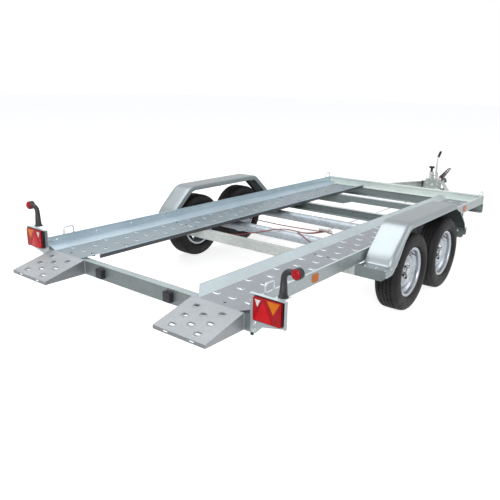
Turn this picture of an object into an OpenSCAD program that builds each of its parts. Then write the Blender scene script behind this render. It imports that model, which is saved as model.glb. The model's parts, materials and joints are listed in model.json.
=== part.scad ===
// Tandem-axle car transporter trailer in galvanised steel, in millimetres.
// +Y points forward to the coupling, +X to the right, and the ground is at z = 0.
// The origin lies on the ground in the middle of the overall length and width.

/* [Deck] */
// Length of the deck from the rear beam to the front beam
deck_length = 4310; // [3600:10:5000]
// Width of the deck over the outer faces of the side rails
deck_width = 2010; // [1900:10:2200]
// Height of the underside of the runways above the ground
deck_height = 458; // [440:1:520]
// Height of a side rail
rail_height = 92; // [70:1:130]
// Width of the fold at a side rail's top
rail_top_flange = 14; // [12:1:40]
// Sheet thickness of the rails
rail_sheet = 4; // [3:0.5:6]
// Distance of a runway's inner edge from the middle of the trailer
runway_inner = 504; // [420:1:560]
// Sheet thickness of the runways
runway_sheet = 3; // [2:0.5:4]
// Height of the runway's inner lip above its floor
runway_lip_height = 36; // [15:1:45]
// Width of the slope that leads up to the inner lip
runway_slope_width = 96; // [60:1:120]
// Width of the slope that leads up to the side rail
runway_rail_slope = 86; // [50:1:100]
// Height of the runway's upstand along the side rail
runway_upstand = 46; // [36:1:60]
// Length of an anti-slip hole across a runway or ramp
grip_hole_length = 42; // [30:1:50]
// Width of an anti-slip hole
grip_hole_width = 22; // [14:1:26]
// Distance between the rows of holes along a runway
row_pitch = 160; // [120:1:200]
// Distance between the holes of a row
column_pitch = 130; // [100:1:132]

/* [Beams] */
// Height of the rear beam and of the lower front beam
beam_height = 104; // [80:1:140]
// Depth of the beams along the trailer
beam_depth = 60; // [45:1:90]
// Sheet thickness of the beams and cross-members
beam_sheet = 4; // [3:0.5:6]
// Depth of the upper front beam along the trailer
front_beam_depth = 50; // [40:1:80]
// Height of the rear cross-member
rear_member_height = 78; // [60:1:100]
// Height of the middle cross-member
middle_member_height = 90; // [60:1:100]
// Height of the front cross-member between the runways
front_member_height = 70; // [50:1:90]
// Distance from the rear of the deck to the rear cross-member
rear_member_place = 1236; // [1100:1:1300]
// Distance from the rear of the deck to the middle cross-member
middle_member_place = 2926; // [2860:1:3100]
// Distance from the rear of the deck to the front cross-member
front_member_place = 3626; // [3400:1:3800]
// Distance from the middle of the trailer at which the front cross-member is at full depth
gusset_place = 427; // [380:1:500]
// Length of the sloped step where the front cross-member gets deeper
gusset_run = 107; // [60:1:150]

/* [Tail ramps] */
// Length of a tail ramp behind the rear beam
ramp_length = 330; // [250:1:400]
// Width of a tail ramp
ramp_width = 412; // [340:1:430]
// Distance from the middle of the trailer to the middle of a ramp
ramp_place = 752; // [735:1:770]
// Height of the lip at the ramp's tip
ramp_tip_height = 24; // [18:1:40]
// Sheet thickness of the ramps
ramp_sheet = 4; // [3:0.5:6]

/* [Drawbar] */
// Distance from the front of the deck to the middle of the tow ball
drawbar_reach = 1475; // [1300:5:1700]
// Height of the middle of the tow ball above the ground
ball_height = 430; // [400:1:450]
// Distance from the middle of the trailer to the arm's outer face at the front beam
arm_spread = 672; // [600:1:720]
// Distance from the tow ball back to the front ends of the arms
arm_setback = 256; // [230:1:320]
// Width of an arm's flanges
arm_flange = 50; // [40:1:60]
// Sheet thickness of an arm
arm_sheet = 5; // [4:0.5:6]

/* [Overrun unit] */
// Width of the overrun housing
housing_width = 96; // [80:1:110]
// Length of the overrun housing
housing_length = 224; // [180:1:260]
// Height of the overrun housing
housing_height = 129; // [110:1:140]
// Diameter of the sliding drawbar tube
slide_diameter = 50; // [40:1:60]
// Largest diameter of the bellows
bellows_diameter = 84; // [70:1:95]
// Radius of the ball socket in the coupling head
socket_radius = 25.2; // [25.05:0.05:25.5]
// Length of the coupling head in front of the ball's middle
coupling_nose = 46; // [40:1:55]
// Distance from the ball's middle forward to the tip of the raised coupling handle
handle_reach = 220; // [180:1:260]

/* [Handbrake] */
// Length of the handbrake lever from its pivot to the bend under the grip
lever_length = 250; // [200:1:300]
// Forward lean of the handbrake grip in degrees
grip_lean = 46; // [30:1:60]
// Diameter of the handbrake grip
grip_diameter = 34; // [26:1:40]

/* [Jockey wheel] */
// Distance of the jockey wheel's tube from the middle of the trailer
jockey_offset = 108; // [100:1:140]
// Distance from the tow ball back to the jockey wheel's tube
jockey_setback = 214; // [205:1:225]
// Outer diameter of the jockey wheel's outer tube
jockey_tube_diameter = 60; // [50:1:66]
// Diameter of the jockey wheel
jockey_wheel_diameter = 200; // [180:1:230]
// Width of the jockey wheel
jockey_wheel_width = 50; // [40:1:60]

/* [Wheels] */
// Diameter of a tyre
tyre_diameter = 630; // [600:1:660]
// Width of a tyre
tyre_width = 195; // [175:1:205]
// Gap between a side rail and the inner side of a tyre
tyre_gap = 43; // [40:1:60]
// Distance from the rear of the deck to the rear wheels' middle
rear_wheel_place = 1778; // [1700:1:1850]
// Distance between the two axles
axle_spacing = 706; // [680:1:760]
// Diameter of the rim over its flange
rim_diameter = 398; // [380:1:410]
// Diameter of an axle tube
axle_tube_diameter = 90; // [70:1:100]
// Distance that an axle tube lies in front of its wheels
axle_lead = 95; // [80:1:120]
// Height of an axle tube's middle above the wheel's middle
axle_rise = 52; // [40:1:60]

/* [Mudguards] */
// Gap between a side rail and a mudguard's inner edge
guard_gap = 18; // [12:1:36]
// Width of a mudguard
guard_width = 227; // [222:1:245]
// Height of a mudguard's top above the ground
guard_top = 741; // [725:1:790]
// Distance from the underside of the deck down to a mudguard's lowest edge
guard_skirt = 58; // [50:1:75]
// Depth of a mudguard's valances below its top
guard_valance = 46; // [36:1:54]
// Radius of the shoulder between a mudguard's top and its outer valance
guard_shoulder = 30; // [15:1:32]
// Sheet thickness of a mudguard
guard_sheet = 3; // [2:0.5:4]

/* [Lamps] */
// Width of a tail lamp
lamp_width = 200; // [180:1:240]
// Height of a tail lamp
lamp_height = 148; // [120:1:150]
// Height of a tail lamp's middle above the ground
lamp_middle = 525; // [515:1:540]
// Depth of a tail lamp's housing
lamp_depth = 22; // [16:1:40]
// Height of a side marker lamp's middle above the ground
marker_height = 757; // [730:1:790]
// Distance of a side marker lamp's middle beyond the end of its bracket
marker_reach = 29; // [20:1:60]
// Diameter of a side marker lamp
marker_diameter = 64; // [50:1:70]

/* [Hidden] */
$fn = 64;

// Small overlap that makes cuts pass clean through
eps = 1;
// Air left between pieces of different bodies that run past each other
running_gap = 0.3;
// Radial play of a pin or tube that turns or slides in its bore
pin_play = 0.05;

// Places along the trailer, from the overall length
total_length = ramp_length + deck_length + drawbar_reach + handle_reach;
deck_rear = ramp_length - total_length / 2;
deck_front = deck_rear + deck_length;
ball_y = deck_front + drawbar_reach;
half_width = deck_width / 2;

// Heights
beam_top = deck_height;
beam_bottom = beam_top - beam_height;
rail_top = beam_top + rail_height;
floor_top = deck_height + runway_sheet;
wheel_z = tyre_diameter / 2;

// Outline of a bent sheet: the path is its outer side, and the sheet lies to the left of it
function unit(v) = v / norm(v);
function left_of(v) = [-v[1], v[0]];
function side_point(p, i, t) =
    let (n = len(p))
    let (a = i == 0 ? unit(p[1] - p[0]) : unit(p[i] - p[i - 1]))
    let (b = i == n - 1 ? a : unit(p[i + 1] - p[i]))
    let (m = left_of(a) + left_of(b))
    p[i] + m * t / (1 + a * b);
function sheet(p, t) =
    concat(p, [for (i = [len(p) - 1 : -1 : 0]) side_point(p, i, t)]);

// Points of a round corner from one angle to another
function arc_points(centre, radius, from, to, steps) =
    [for (i = [0 : steps]) centre + radius * [cos(from + (to - from) * i / steps),
                                              sin(from + (to - from) * i / steps)]];

// A smooth curve through the points of a route, straight where they are in line
function route_way(route, i) =
    let (n = len(route) - 1)
    unit((i == 0 ? [0, 0, 0] : unit(route[i] - route[i - 1]))
         + (i == n ? [0, 0, 0] : unit(route[i + 1] - route[i])));
function curve_point(a, b, way_a, way_b, t) =
    let (run = norm(b - a))
    a * (1 + t * t * (2 * t - 3)) + b * t * t * (3 - 2 * t)
    + way_a * run * t * (t * (t - 2) + 1) + way_b * run * t * t * (t - 1);
function smooth_route(route, steps) =
    let (n = len(route))
    concat([for (i = [0 : n - 2]) for (k = [0 : steps - 1])
                curve_point(route[i], route[i + 1], route_way(route, i), route_way(route, i + 1),
                            k / steps)],
           [route[n - 1]]);

// A profile drawn in X and Z, extruded along Y
module along_y(from, to) {
    translate([0, to, 0]) rotate([90, 0, 0]) linear_extrude(to - from) children();
}

// A profile drawn in Y and Z, extruded along X
module along_x(from, to) {
    translate([from, 0, 0]) rotate([90, 0, 90]) linear_extrude(to - from) children();
}

// A closed skin over rings of points, which all have the same number of points
module skin(rings) {
    n = len(rings[0]);
    last = len(rings) - 1;
    polyhedron(
        [for (ring = rings) each ring],
        concat([[for (j = [0 : n - 1]) j]],
            [for (i = [0 : last - 1]) for (j = [0 : n - 1])
                [i * n + j, (i + 1) * n + j, (i + 1) * n + (j + 1) % n, i * n + (j + 1) % n]],
            [[for (j = [n - 1 : -1 : 0]) last * n + j]]));
}

// The second copy of a piece on the other side of the trailer
module on_side(side) {
    if (side > 0) children();
    else mirror([1, 0, 0]) children();
}

// Outline of a channel with its web at one face and its open side at the other
function channel_outline(web_y, open_to, depth, bottom, top, sheet_t, lip = 0) =
    let (other_y = web_y + open_to * depth)
    sheet(open_to > 0
        ? (lip > 0
            ? [[other_y, top - lip], [other_y, top], [web_y, top], [web_y, bottom],
               [other_y, bottom], [other_y, bottom + lip]]
            : [[other_y, top], [web_y, top], [web_y, bottom], [other_y, bottom]])
        : (lip > 0
            ? [[other_y, bottom + lip], [other_y, bottom], [web_y, bottom], [web_y, top],
               [other_y, top], [other_y, top - lip]]
            : [[other_y, bottom], [web_y, bottom], [web_y, top], [other_y, top]]),
        sheet_t);
module channel_beam(web_y, open_to, depth, bottom, top, half, sheet_t, lip = 0) {
    along_x(-half, half)
        polygon(channel_outline(web_y, open_to, depth, bottom, top, sheet_t, lip));
}

// A hole with round ends, drawn lying across the trailer
module grip_hole() {
    union() {
        square([grip_hole_length - grip_hole_width, grip_hole_width], center = true);
        for (end = [-1, 1])
            translate([end * (grip_hole_length - grip_hole_width) / 2, 0])
                circle(d = grip_hole_width, $fn = 32);
    }
}

// A square with round corners, drawn from its middle
module round_square(width, height, corner) {
    union() {
        square([width - 2 * corner, height], center = true);
        square([width, height - 2 * corner], center = true);
        for (across = [-1, 1])
            for (up = [-1, 1])
                translate([across * (width / 2 - corner), up * (height / 2 - corner)])
                    circle(corner, $fn = 32);
    }
}

// Deck frame
module rear_beam() {
    color("silver")
    union() {
        channel_beam(deck_rear, 1, beam_depth, beam_bottom, beam_top, half_width, beam_sheet);
        for (side = [-1, 1])
            on_side(side)
            translate([half_width - beam_sheet, deck_rear, beam_bottom])
                cube([beam_sheet, beam_depth, beam_height]);
    }
}

front_lip = 10;
module front_beam() {
    color("silver")
    union() {
        channel_beam(deck_front, -1, front_beam_depth, beam_top, rail_top, half_width,
                     beam_sheet, front_lip);
        for (side = [-1, 1])
            on_side(side)
            along_x(half_width - beam_sheet, half_width)
            polygon([[deck_front - front_beam_depth, beam_top], [deck_front, beam_top],
                     [deck_front, rail_top], [deck_front - front_beam_depth, rail_top]]);
    }
}

module lower_front_beam() {
    color("gainsboro")
    channel_beam(deck_front, -1, beam_depth, beam_bottom, beam_top, half_width, beam_sheet);
}

module rear_crossmember() {
    color("gainsboro")
    channel_beam(deck_rear + rear_member_place, 1, beam_depth, beam_top - rear_member_height,
                 beam_top, half_width, beam_sheet);
}

module middle_crossmember() {
    color("gainsboro")
    channel_beam(deck_rear + middle_member_place + beam_depth, -1, beam_depth,
                 beam_top - middle_member_height, beam_top, half_width, beam_sheet, front_lip);
}

module front_crossmember() {
    web = deck_rear + front_member_place;
    step = gusset_place - gusset_run;
    color("gainsboro")
    union() {
        channel_beam(web, 1, beam_depth, beam_top - front_member_height, beam_top,
                     half_width, beam_sheet);
        for (side = [-1, 1])
            on_side(side)
            along_y(web - beam_sheet, web)
            polygon([[step, beam_top - front_member_height], [gusset_place, beam_bottom],
                     [half_width, beam_bottom], [half_width, beam_top], [step, beam_top]]);
    }
}

// Side rail: web outside, a narrow fold to the inside at its top
rail_hole = 11;
first_rail_hole = 77;
rail_hole_pitch = 376;
module side_rail(side) {
    color("silver")
    on_side(side)
    difference() {
        along_y(deck_rear, deck_front - front_beam_depth)
            polygon(sheet([[half_width, beam_top], [half_width, rail_top],
                           [half_width - rail_top_flange, rail_top]], rail_sheet));
        for (place = [first_rail_hole : rail_hole_pitch : deck_length - front_beam_depth - rail_hole])
            translate([half_width - rail_sheet - eps, deck_rear + place,
                       floor_top + runway_upstand + rail_hole])
                rotate([0, 90, 0]) cylinder(d = rail_hole, h = rail_sheet + 2 * eps, $fn = 24);
    }
}

// Runway: one folded plank whose floor rises to an upstand at the rail and to a lip at the inside
runway_front = deck_front - front_beam_depth;
lip_top = floor_top + runway_lip_height;
lip_setback = 110;
upstand_flat = 16;
first_row = 136;
row_margin = 70;
module runway(side) {
    outer = half_width - rail_sheet;
    foot = runway_inner + runway_slope_width;
    rail_foot = outer - runway_rail_slope;
    middle = (foot + rail_foot) / 2;
    rows = floor((runway_front - deck_rear - first_row - row_margin) / row_pitch);
    color("lightsteelblue")
    on_side(side)
    difference() {
        along_y(deck_rear, runway_front)
            polygon(sheet([[runway_inner, deck_height], [runway_inner, lip_top],
                           [runway_inner + runway_sheet * 2, lip_top], [foot, floor_top],
                           [rail_foot, floor_top],
                           [outer - runway_sheet, floor_top + runway_upstand - upstand_flat],
                           [outer - runway_sheet, floor_top + runway_upstand]], -runway_sheet));
        translate([0, deck_rear, deck_height - eps])
            linear_extrude(runway_sheet + runway_lip_height + 2 * eps)
            polygon([[runway_inner - eps, -eps], [foot, -eps], [runway_inner - eps, lip_setback]]);
        translate([middle, deck_rear + first_row, deck_height - eps])
            linear_extrude(runway_sheet + 2 * eps)
            for (row = [0 : rows])
                for (column = row % 2 == 0 ? [-1, 0, 1] : [-0.5, 0.5])
                    translate([column * column_pitch, row * row_pitch]) grip_hole();
    }
}

// Tail ramp: sloping plate with side plates, a tip lip and a flange on the beam
ramp_drop = floor_top - beam_bottom - ramp_tip_height;
ramp_row = 102;
ramp_column = 101;
ramp_row_shift = 8;
tip_slot = 36;
module tail_ramp(side) {
    tip_y = deck_rear - ramp_length;
    tip_z = beam_bottom + ramp_tip_height;
    wedge = [[tip_y, beam_bottom], [deck_rear, beam_bottom], [deck_rear, floor_top],
             [tip_y, tip_z]];
    inside = [[tip_y + ramp_sheet, beam_bottom - eps], [deck_rear - ramp_sheet, beam_bottom - eps],
              [deck_rear - ramp_sheet, floor_top - ramp_sheet * 1.3],
              [tip_y + ramp_sheet, tip_z - ramp_sheet * 1.3 + ramp_sheet * ramp_drop / ramp_length]];
    color("lightsteelblue")
    on_side(side)
    difference() {
        along_x(ramp_place - ramp_width / 2, ramp_place + ramp_width / 2) polygon(wedge);
        along_x(ramp_place - ramp_width / 2 + ramp_sheet, ramp_place + ramp_width / 2 - ramp_sheet)
            polygon(inside);
        translate([ramp_place, deck_rear - ramp_length / 2 - ramp_row_shift, beam_bottom + ramp_sheet])
            linear_extrude(beam_height)
            union() {
                for (row = [-1 : 1])
                    for (column = [-1, 1])
                        translate([column * ramp_column, row * ramp_row]) grip_hole();
                for (row = [-0.5, 0.5])
                    translate([0, row * ramp_row]) grip_hole();
            }
        for (across = [-1, 1])
            along_y(tip_y - eps, tip_y + ramp_sheet + eps)
                translate([ramp_place + across * ramp_width / 4, beam_bottom + ramp_tip_height / 2])
                square([tip_slot, tip_slot / 4], center = true);
    }
}

// Drawbar arm: a channel that opens to the middle, from the lower front beam to the overrun unit
arm_front_y = ball_y - arm_setback;
arm_tip = housing_width / 2 + arm_flange;
arm_angle = atan((arm_spread - arm_tip) / (arm_front_y - deck_front));
module drawbar_arm(side) {
    length = norm([arm_spread - arm_tip, arm_front_y - deck_front]);
    color("silver")
    on_side(side)
    intersection() {
        translate([arm_spread, deck_front, 0]) rotate([0, 0, arm_angle])
            along_y(-arm_flange, length + arm_flange)
            polygon(sheet([[-arm_flange, beam_bottom], [0, beam_bottom], [0, beam_top],
                           [-arm_flange, beam_top]], arm_sheet));
        translate([housing_width / 2, deck_front, beam_bottom - eps])
            cube([arm_spread, arm_front_y - deck_front, beam_height + 2 * eps]);
    }
}

// Axle: a torsion tube on two mounting blocks, with trailing arms that carry the stub axles
rim_offset = 28;
stub_diameter = 40;
arm_thickness = 22;
backplate_sheet = 5;
drum_radius = 118;
hub_gap = 2;
tyre_outer = half_width + tyre_gap + tyre_width;
wheel_x = tyre_outer - tyre_width / 2;
swing_arm_x = half_width + 6;
backplate_x = swing_arm_x + arm_thickness;
drum_inner = backplate_x + backplate_sheet + hub_gap;
stub_end = wheel_x + rim_offset + 10;
block_width = 70;
block_length = 70;
module axle(place) {
    y = deck_rear + place;
    tube_y = y + axle_lead;
    tube_z = wheel_z + axle_rise;
    color("gainsboro")
    union() {
        translate([-swing_arm_x - eps, tube_y, tube_z]) rotate([0, 90, 0])
            cylinder(d = axle_tube_diameter, h = 2 * (swing_arm_x + eps));
        for (side = [-1, 1])
            on_side(side) {
                translate([half_width - block_length, tube_y - block_width / 2, tube_z])
                    cube([block_length, block_width, beam_top - tube_z]);
                translate([swing_arm_x, 0, 0]) rotate([90, 0, 90])
                    linear_extrude(arm_thickness)
                    hull() {
                        translate([tube_y, tube_z]) circle(d = axle_tube_diameter + 14, $fn = 32);
                        translate([y, wheel_z]) circle(d = stub_diameter + 24, $fn = 32);
                    }
                translate([backplate_x, y, wheel_z]) rotate([0, 90, 0])
                    cylinder(r = drum_radius, h = backplate_sheet);
                translate([swing_arm_x + eps, y, wheel_z]) rotate([0, 90, 0])
                    cylinder(d = stub_diameter, h = stub_end - swing_arm_x - eps);
            }
    }
}

// Wheels
tread_radius = tyre_diameter / 2;
rim_radius = rim_diameter / 2;
bead_radius = rim_radius - 17;
rim_width = 142;
bead_half = rim_width / 2 - 7;
groove_pitch = 31;
groove_width = 9;
groove_depth = 7;
function groove_at(place) =
    [[tread_radius, place - groove_width / 2], [tread_radius - groove_depth, place - groove_width / 3],
     [tread_radius - groove_depth, place + groove_width / 3], [tread_radius, place + groove_width / 2]];
module tyre_at(side, place) {
    half = tyre_width / 2;
    color("#202022")
    translate([side * wheel_x, deck_rear + place, wheel_z]) rotate([0, 90, 0])
    rotate_extrude($fn = 96)
    polygon(concat([[bead_radius, -bead_half], [rim_radius + 1, -bead_half - 1],
             [rim_radius + 6, -bead_half - 10], [rim_radius + 20, -half + 5],
             [rim_radius + 50, -half], [tread_radius - 45, -half + 4],
             [tread_radius - 14, -half + 14], [tread_radius - 3, -half + 28]],
        [for (place = [-1.5 : 1.5]) each groove_at(place * groove_pitch)],
        [[tread_radius - 3, half - 28],
             [tread_radius - 14, half - 14], [tread_radius - 45, half - 4],
             [rim_radius + 50, half], [rim_radius + 20, half - 5],
             [rim_radius + 6, bead_half + 10], [rim_radius + 1, bead_half + 1],
             [bead_radius, bead_half]]));
}

disc_sheet = 4;
hub_radius = 32;
bolt_circle = 112;
vent_count = 10;
vent_circle = 282;
vent_diameter = 28;
module rim_at(side, place) {
    w = rim_width / 2;
    color("whitesmoke")
    translate([side * wheel_x, deck_rear + place, wheel_z]) rotate([0, side * 90, 0])
    difference() {
        rotate_extrude($fn = 96)
        polygon([[rim_radius, -w - 3], [rim_radius, -w], [rim_radius - 3, -w + 3],
                 [bead_radius + 4, -w + 5], [bead_radius, -w + 6],
                 [bead_radius, -w + 30], [bead_radius - 20, -w + 48],
                 [bead_radius - 20, w - 46], [bead_radius, w - 28],
                 [bead_radius, w - 6], [bead_radius + 4, w - 5],
                 [rim_radius - 3, w - 3], [rim_radius, w], [rim_radius, w + 3],
                 [rim_radius - 5, w + 3], [bead_radius - 2, w], [bead_radius - 6, w - 8],
                 [bead_radius - 6, w - 30], [bead_radius - 22, w - 44],
                 [bead_radius - 28, w - 52], [128, w - 34], [112, w - 30], [90, rim_offset + 8],
                 [82, rim_offset + disc_sheet], [hub_radius + 2, rim_offset + disc_sheet],
                 [hub_radius + 2, rim_offset], [82, rim_offset], [92, rim_offset + 2],
                 [112, w - 35], [128, w - 39], [bead_radius - 30, w - 60],
                 [bead_radius - 26, w - 62], [bead_radius - 26, -w + 46],
                 [bead_radius - 6, -w + 28], [bead_radius - 6, -w + 8], [bead_radius - 2, -w],
                 [rim_radius - 5, -w - 3]]);
        for (i = [0 : vent_count - 1])
            rotate([0, 0, i * 360 / vent_count]) translate([vent_circle / 2, 0, 0])
                cylinder(d = vent_diameter, h = rim_width, $fn = 24);
        for (i = [0 : 4])
            rotate([0, 0, i * 72]) translate([bolt_circle / 2, 0, 0])
                cylinder(d = 14, h = rim_width, $fn = 24);
    }
}

drum_length = 62;
bolt_head = 19;
module hub_at(side, place) {
    inner = drum_inner - wheel_x;
    color("dimgray")
    translate([side * wheel_x, deck_rear + place, wheel_z]) rotate([0, side * 90, 0])
    union() {
        difference() {
            rotate_extrude($fn = 64)
            polygon([[stub_diameter / 2 + pin_play, inner], [drum_radius + 6, inner],
                     [drum_radius + 6, inner + 8], [drum_radius, inner + 10],
                     [drum_radius, inner + drum_length], [drum_radius - 10, inner + drum_length + 8],
                     [78, rim_offset], [hub_radius, rim_offset],
                     [hub_radius, rim_offset + 22], [hub_radius - 3, rim_offset + 26],
                     [0, rim_offset + 26], [0, rim_offset + 14],
                     [stub_diameter / 2 + pin_play, rim_offset + 14]]);
        }
        for (i = [0 : 4])
            rotate([0, 0, i * 72]) translate([bolt_circle / 2, 0, rim_offset - eps])
                union() {
                    cylinder(d = 12, h = disc_sheet + 2 * eps);
                    translate([0, 0, disc_sheet + eps]) cylinder(d = bolt_head, h = 13, $fn = 6);
                }
    }
}

guard_inner = half_width + guard_gap;
guard_outer = guard_inner + guard_width;
// Mudguard: one pressed sheet swept over both wheels, with a round shoulder, two valances and a
// foot at each end on the outriggers of the cross-members
guard_middle = deck_rear + rear_wheel_place + axle_spacing / 2;
guard_half_top = 515;
guard_knee_z = beam_top + 73;
guard_knee_run = 42;
guard_top_bend = 80;
guard_knee_bend = 60;
guard_foot_bend = 25;
foot_margin = 5;
rear_foot_y = deck_rear + rear_member_place + beam_depth + 45;
front_foot_y = deck_rear + middle_member_place - foot_margin;
guard_foot_z = beam_top + guard_sheet;
guard_path = [[deck_rear + rear_member_place + foot_margin, guard_foot_z], [rear_foot_y, guard_foot_z],
              [rear_foot_y + guard_knee_run, guard_knee_z], [guard_middle - guard_half_top, guard_top],
              [guard_middle + guard_half_top, guard_top], [front_foot_y - guard_knee_run, guard_knee_z],
              [front_foot_y, guard_foot_z],
              [deck_rear + middle_member_place + beam_depth - foot_margin, guard_foot_z]];
guard_bends = [0, guard_foot_bend, guard_knee_bend, guard_top_bend,
               guard_top_bend, guard_knee_bend, guard_foot_bend, 0];

// Stations of the mudguard's path: place along Y, height, heading, depth of the outer valance
skirt_round = 18;
skirt_knee = 76;
skirt_fade = 130;
function way(p, i) = unit(p[i + 1] - p[i]);
function heading(v) = atan2(v[1], v[0]);
function turn_at(p, i) = heading(way(p, i)) - heading(way(p, i - 1));
function bend_run(p, r, i) = r[i] * tan(abs(turn_at(p, i)) / 2);
function bend_stations(p, r, i, steps, depth) =
    let (turn = turn_at(p, i), before = heading(way(p, i - 1)), side = sign(turn))
    let (centre = p[i] - way(p, i - 1) * bend_run(p, r, i) + side * r[i] * left_of(way(p, i - 1)))
    [for (k = [0 : steps])
        let (a = before + turn * k / steps)
        let (at = centre - side * r[i] * left_of([cos(a), sin(a)]))
        [at[0], at[1], a, depth]];
function slope_station(p, r, i, run, depth) =
    let (end = run > 0 ? p[i] + way(p, i) * (bend_run(p, r, i) + run)
                       : p[i + 1] - way(p, i) * (bend_run(p, r, i + 1) - run))
    [end[0], end[1], heading(way(p, i)), depth];
skirt_depth = guard_skirt + guard_sheet;
function round_end(run) = skirt_depth - skirt_round + sqrt(run * (2 * skirt_round - run));
end_runs = [0, 3, 8, skirt_round];
guard_stations = concat(
    [for (run = end_runs) [guard_path[0][0] + run, guard_foot_z, 0, round_end(run)]],
    bend_stations(guard_path, guard_bends, 1, 6, skirt_depth),
    bend_stations(guard_path, guard_bends, 2, 3, skirt_knee),
    [slope_station(guard_path, guard_bends, 2, skirt_fade / 2, (skirt_knee + guard_valance) / 2),
     slope_station(guard_path, guard_bends, 2, skirt_fade, guard_valance)],
    bend_stations(guard_path, guard_bends, 3, 7, guard_valance),
    bend_stations(guard_path, guard_bends, 4, 7, guard_valance),
    [slope_station(guard_path, guard_bends, 4, -skirt_fade, guard_valance),
     slope_station(guard_path, guard_bends, 4, -skirt_fade / 2, (skirt_knee + guard_valance) / 2)],
    bend_stations(guard_path, guard_bends, 5, 3, skirt_knee),
    bend_stations(guard_path, guard_bends, 6, 6, skirt_depth),
    [for (k = [len(end_runs) - 1 : -1 : 0])
        [guard_path[7][0] - end_runs[k], guard_foot_z, 0, round_end(end_runs[k])]]);

// Section of the mudguard: depth below its top, and distance across from its inner edge
function guard_section(depth) =
    let (w = guard_width, t = guard_sheet, s = guard_shoulder)
    concat([[0, 0]],
           [for (a = [0 : 15 : 90]) [s - s * cos(a), w - s + s * sin(a)]],
           [[depth, w], [depth, w - t]],
           [for (a = [90 : -15 : 0]) [s - (s - t) * cos(a), w - s + (s - t) * sin(a)]],
           [[t, 0]]);
function guard_point(station, depth, across) =
    [guard_inner + across, station[0] + depth * sin(station[2]), station[1] - depth * cos(station[2])];
first_upright = len(end_runs) + 6;
last_upright = len(guard_stations) - 1 - first_upright;
module mudguard(side) {
    color("lightgray")
    on_side(side)
    union() {
        skin([for (station = guard_stations)
            [for (q = guard_section(station[3])) guard_point(station, q[0], q[1])]]);
        skin([for (i = [first_upright : last_upright])
            [for (q = [[guard_sheet / 2, 0], [guard_sheet / 2, guard_sheet],
                       [guard_valance, guard_sheet], [guard_valance, 0]])
                guard_point(guard_stations[i], q[0], q[1])]]);
    }
}

// Outriggers of the rear and middle cross-members, which carry the mudguards' feet
module mudguard_stays() {
    reach = guard_outer - guard_shoulder;
    rear = deck_rear + rear_member_place;
    front = deck_rear + middle_member_place + beam_depth;
    color("silver")
    for (side = [-1, 1])
        on_side(side) {
            along_x(half_width, reach)
                polygon(channel_outline(rear, 1, beam_depth, beam_top - rear_member_height, beam_top,
                                        beam_sheet));
            along_x(half_width, reach)
                polygon(channel_outline(front, -1, beam_depth, beam_top - middle_member_height,
                                        beam_top, beam_sheet, front_lip));
        }
}

// Tail lamps
bracket_sheet = 3;
bracket_fold = 22;
lamp_gap = 8;
lamp_inner = half_width + 38;
bracket_top = lamp_middle + lamp_height / 2 + 4;
bracket_outer = lamp_inner + lamp_width + lamp_gap + bracket_sheet;
bracket_bottom = lamp_middle - lamp_height / 2 - 11;
tab_width = 36;
tab_bottom = beam_bottom + 2;
tab_hole = 11;
marker_foot_x = bracket_outer - 60;
marker_foot_width = 60;
marker_foot_height = 6;
marker_y = deck_rear + 45;
module lamp_bracket(side) {
    color("silver")
    on_side(side)
    union() {
        difference() {
            along_y(deck_rear, deck_rear + bracket_sheet)
                polygon([[half_width, tab_bottom], [half_width + tab_width, tab_bottom],
                         [half_width + tab_width + 48, tab_bottom + 50],
                         [bracket_outer - 28, bracket_bottom - 6], [bracket_outer, bracket_bottom],
                         [bracket_outer, bracket_top], [half_width, bracket_top]]);
            for (up = [0.2, 0.6])
                translate([half_width + 0.75 * tab_width, deck_rear - eps,
                           tab_bottom + up * (beam_top - tab_bottom)])
                    rotate([-90, 0, 0]) cylinder(d = tab_hole, h = bracket_sheet + 2 * eps, $fn = 24);
        }
        along_y(deck_rear - bracket_fold, deck_rear + bracket_sheet)
            polygon([[half_width + bracket_sheet, bracket_top - bracket_sheet],
                     [bracket_outer - bracket_sheet, bracket_top - bracket_sheet],
                     [bracket_outer - bracket_sheet, bracket_bottom],
                     [bracket_outer, bracket_bottom], [bracket_outer, bracket_top],
                     [half_width + bracket_sheet, bracket_top]]);
        translate([marker_foot_x - marker_foot_width / 2 - 3, deck_rear, bracket_top - bracket_sheet])
            cube([marker_foot_width + 6, marker_y - deck_rear + marker_foot_width / 2 + 3, bracket_sheet]);
    }
}

lamp_corner = 12;
lens_depth = 14;
lamp_back = deck_rear;
lens_back = lamp_back - lamp_depth;
module lamp_housings() {
    color("#1c1c1e")
    for (side = [-1, 1])
        on_side(side)
        along_y(lens_back, lamp_back)
            translate([lamp_inner + lamp_width / 2, lamp_middle])
            round_square(lamp_width, lamp_height, lamp_corner);
}

lens_half = lamp_height / 2 - 4;
lens_left = lamp_inner + 4;
lens_right = lamp_inner + lamp_width - 4;
lens_gap = 0.5;
clear_triangle = [[lens_left + 12, lamp_middle + lens_half - 12],
                  [lens_left + 52, lamp_middle + lens_half - 12],
                  [lens_left + 31, lamp_middle + lens_half - 56]];
amber_triangle = [[lens_left + 94, lamp_middle + lens_half - 4],
                  [lens_right - 10, lamp_middle + lens_half - 4],
                  [lens_right - 52, lamp_middle - 8]];
module lens_area() {
    translate([(lens_left + lens_right) / 2, lamp_middle])
        round_square(lens_right - lens_left, 2 * lens_half, lamp_corner - 4);
}

marker_depth = 36;
marker_lens_depth = 9;
marker_place = bracket_outer + marker_reach;
module marker_lens(direction) {
    translate([marker_place, marker_y + direction * marker_depth / 2, marker_height])
        rotate([-direction * 90, 0, 0])
        cylinder(d1 = marker_diameter - 8, d2 = marker_diameter - 22, h = marker_lens_depth);
}

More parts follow.
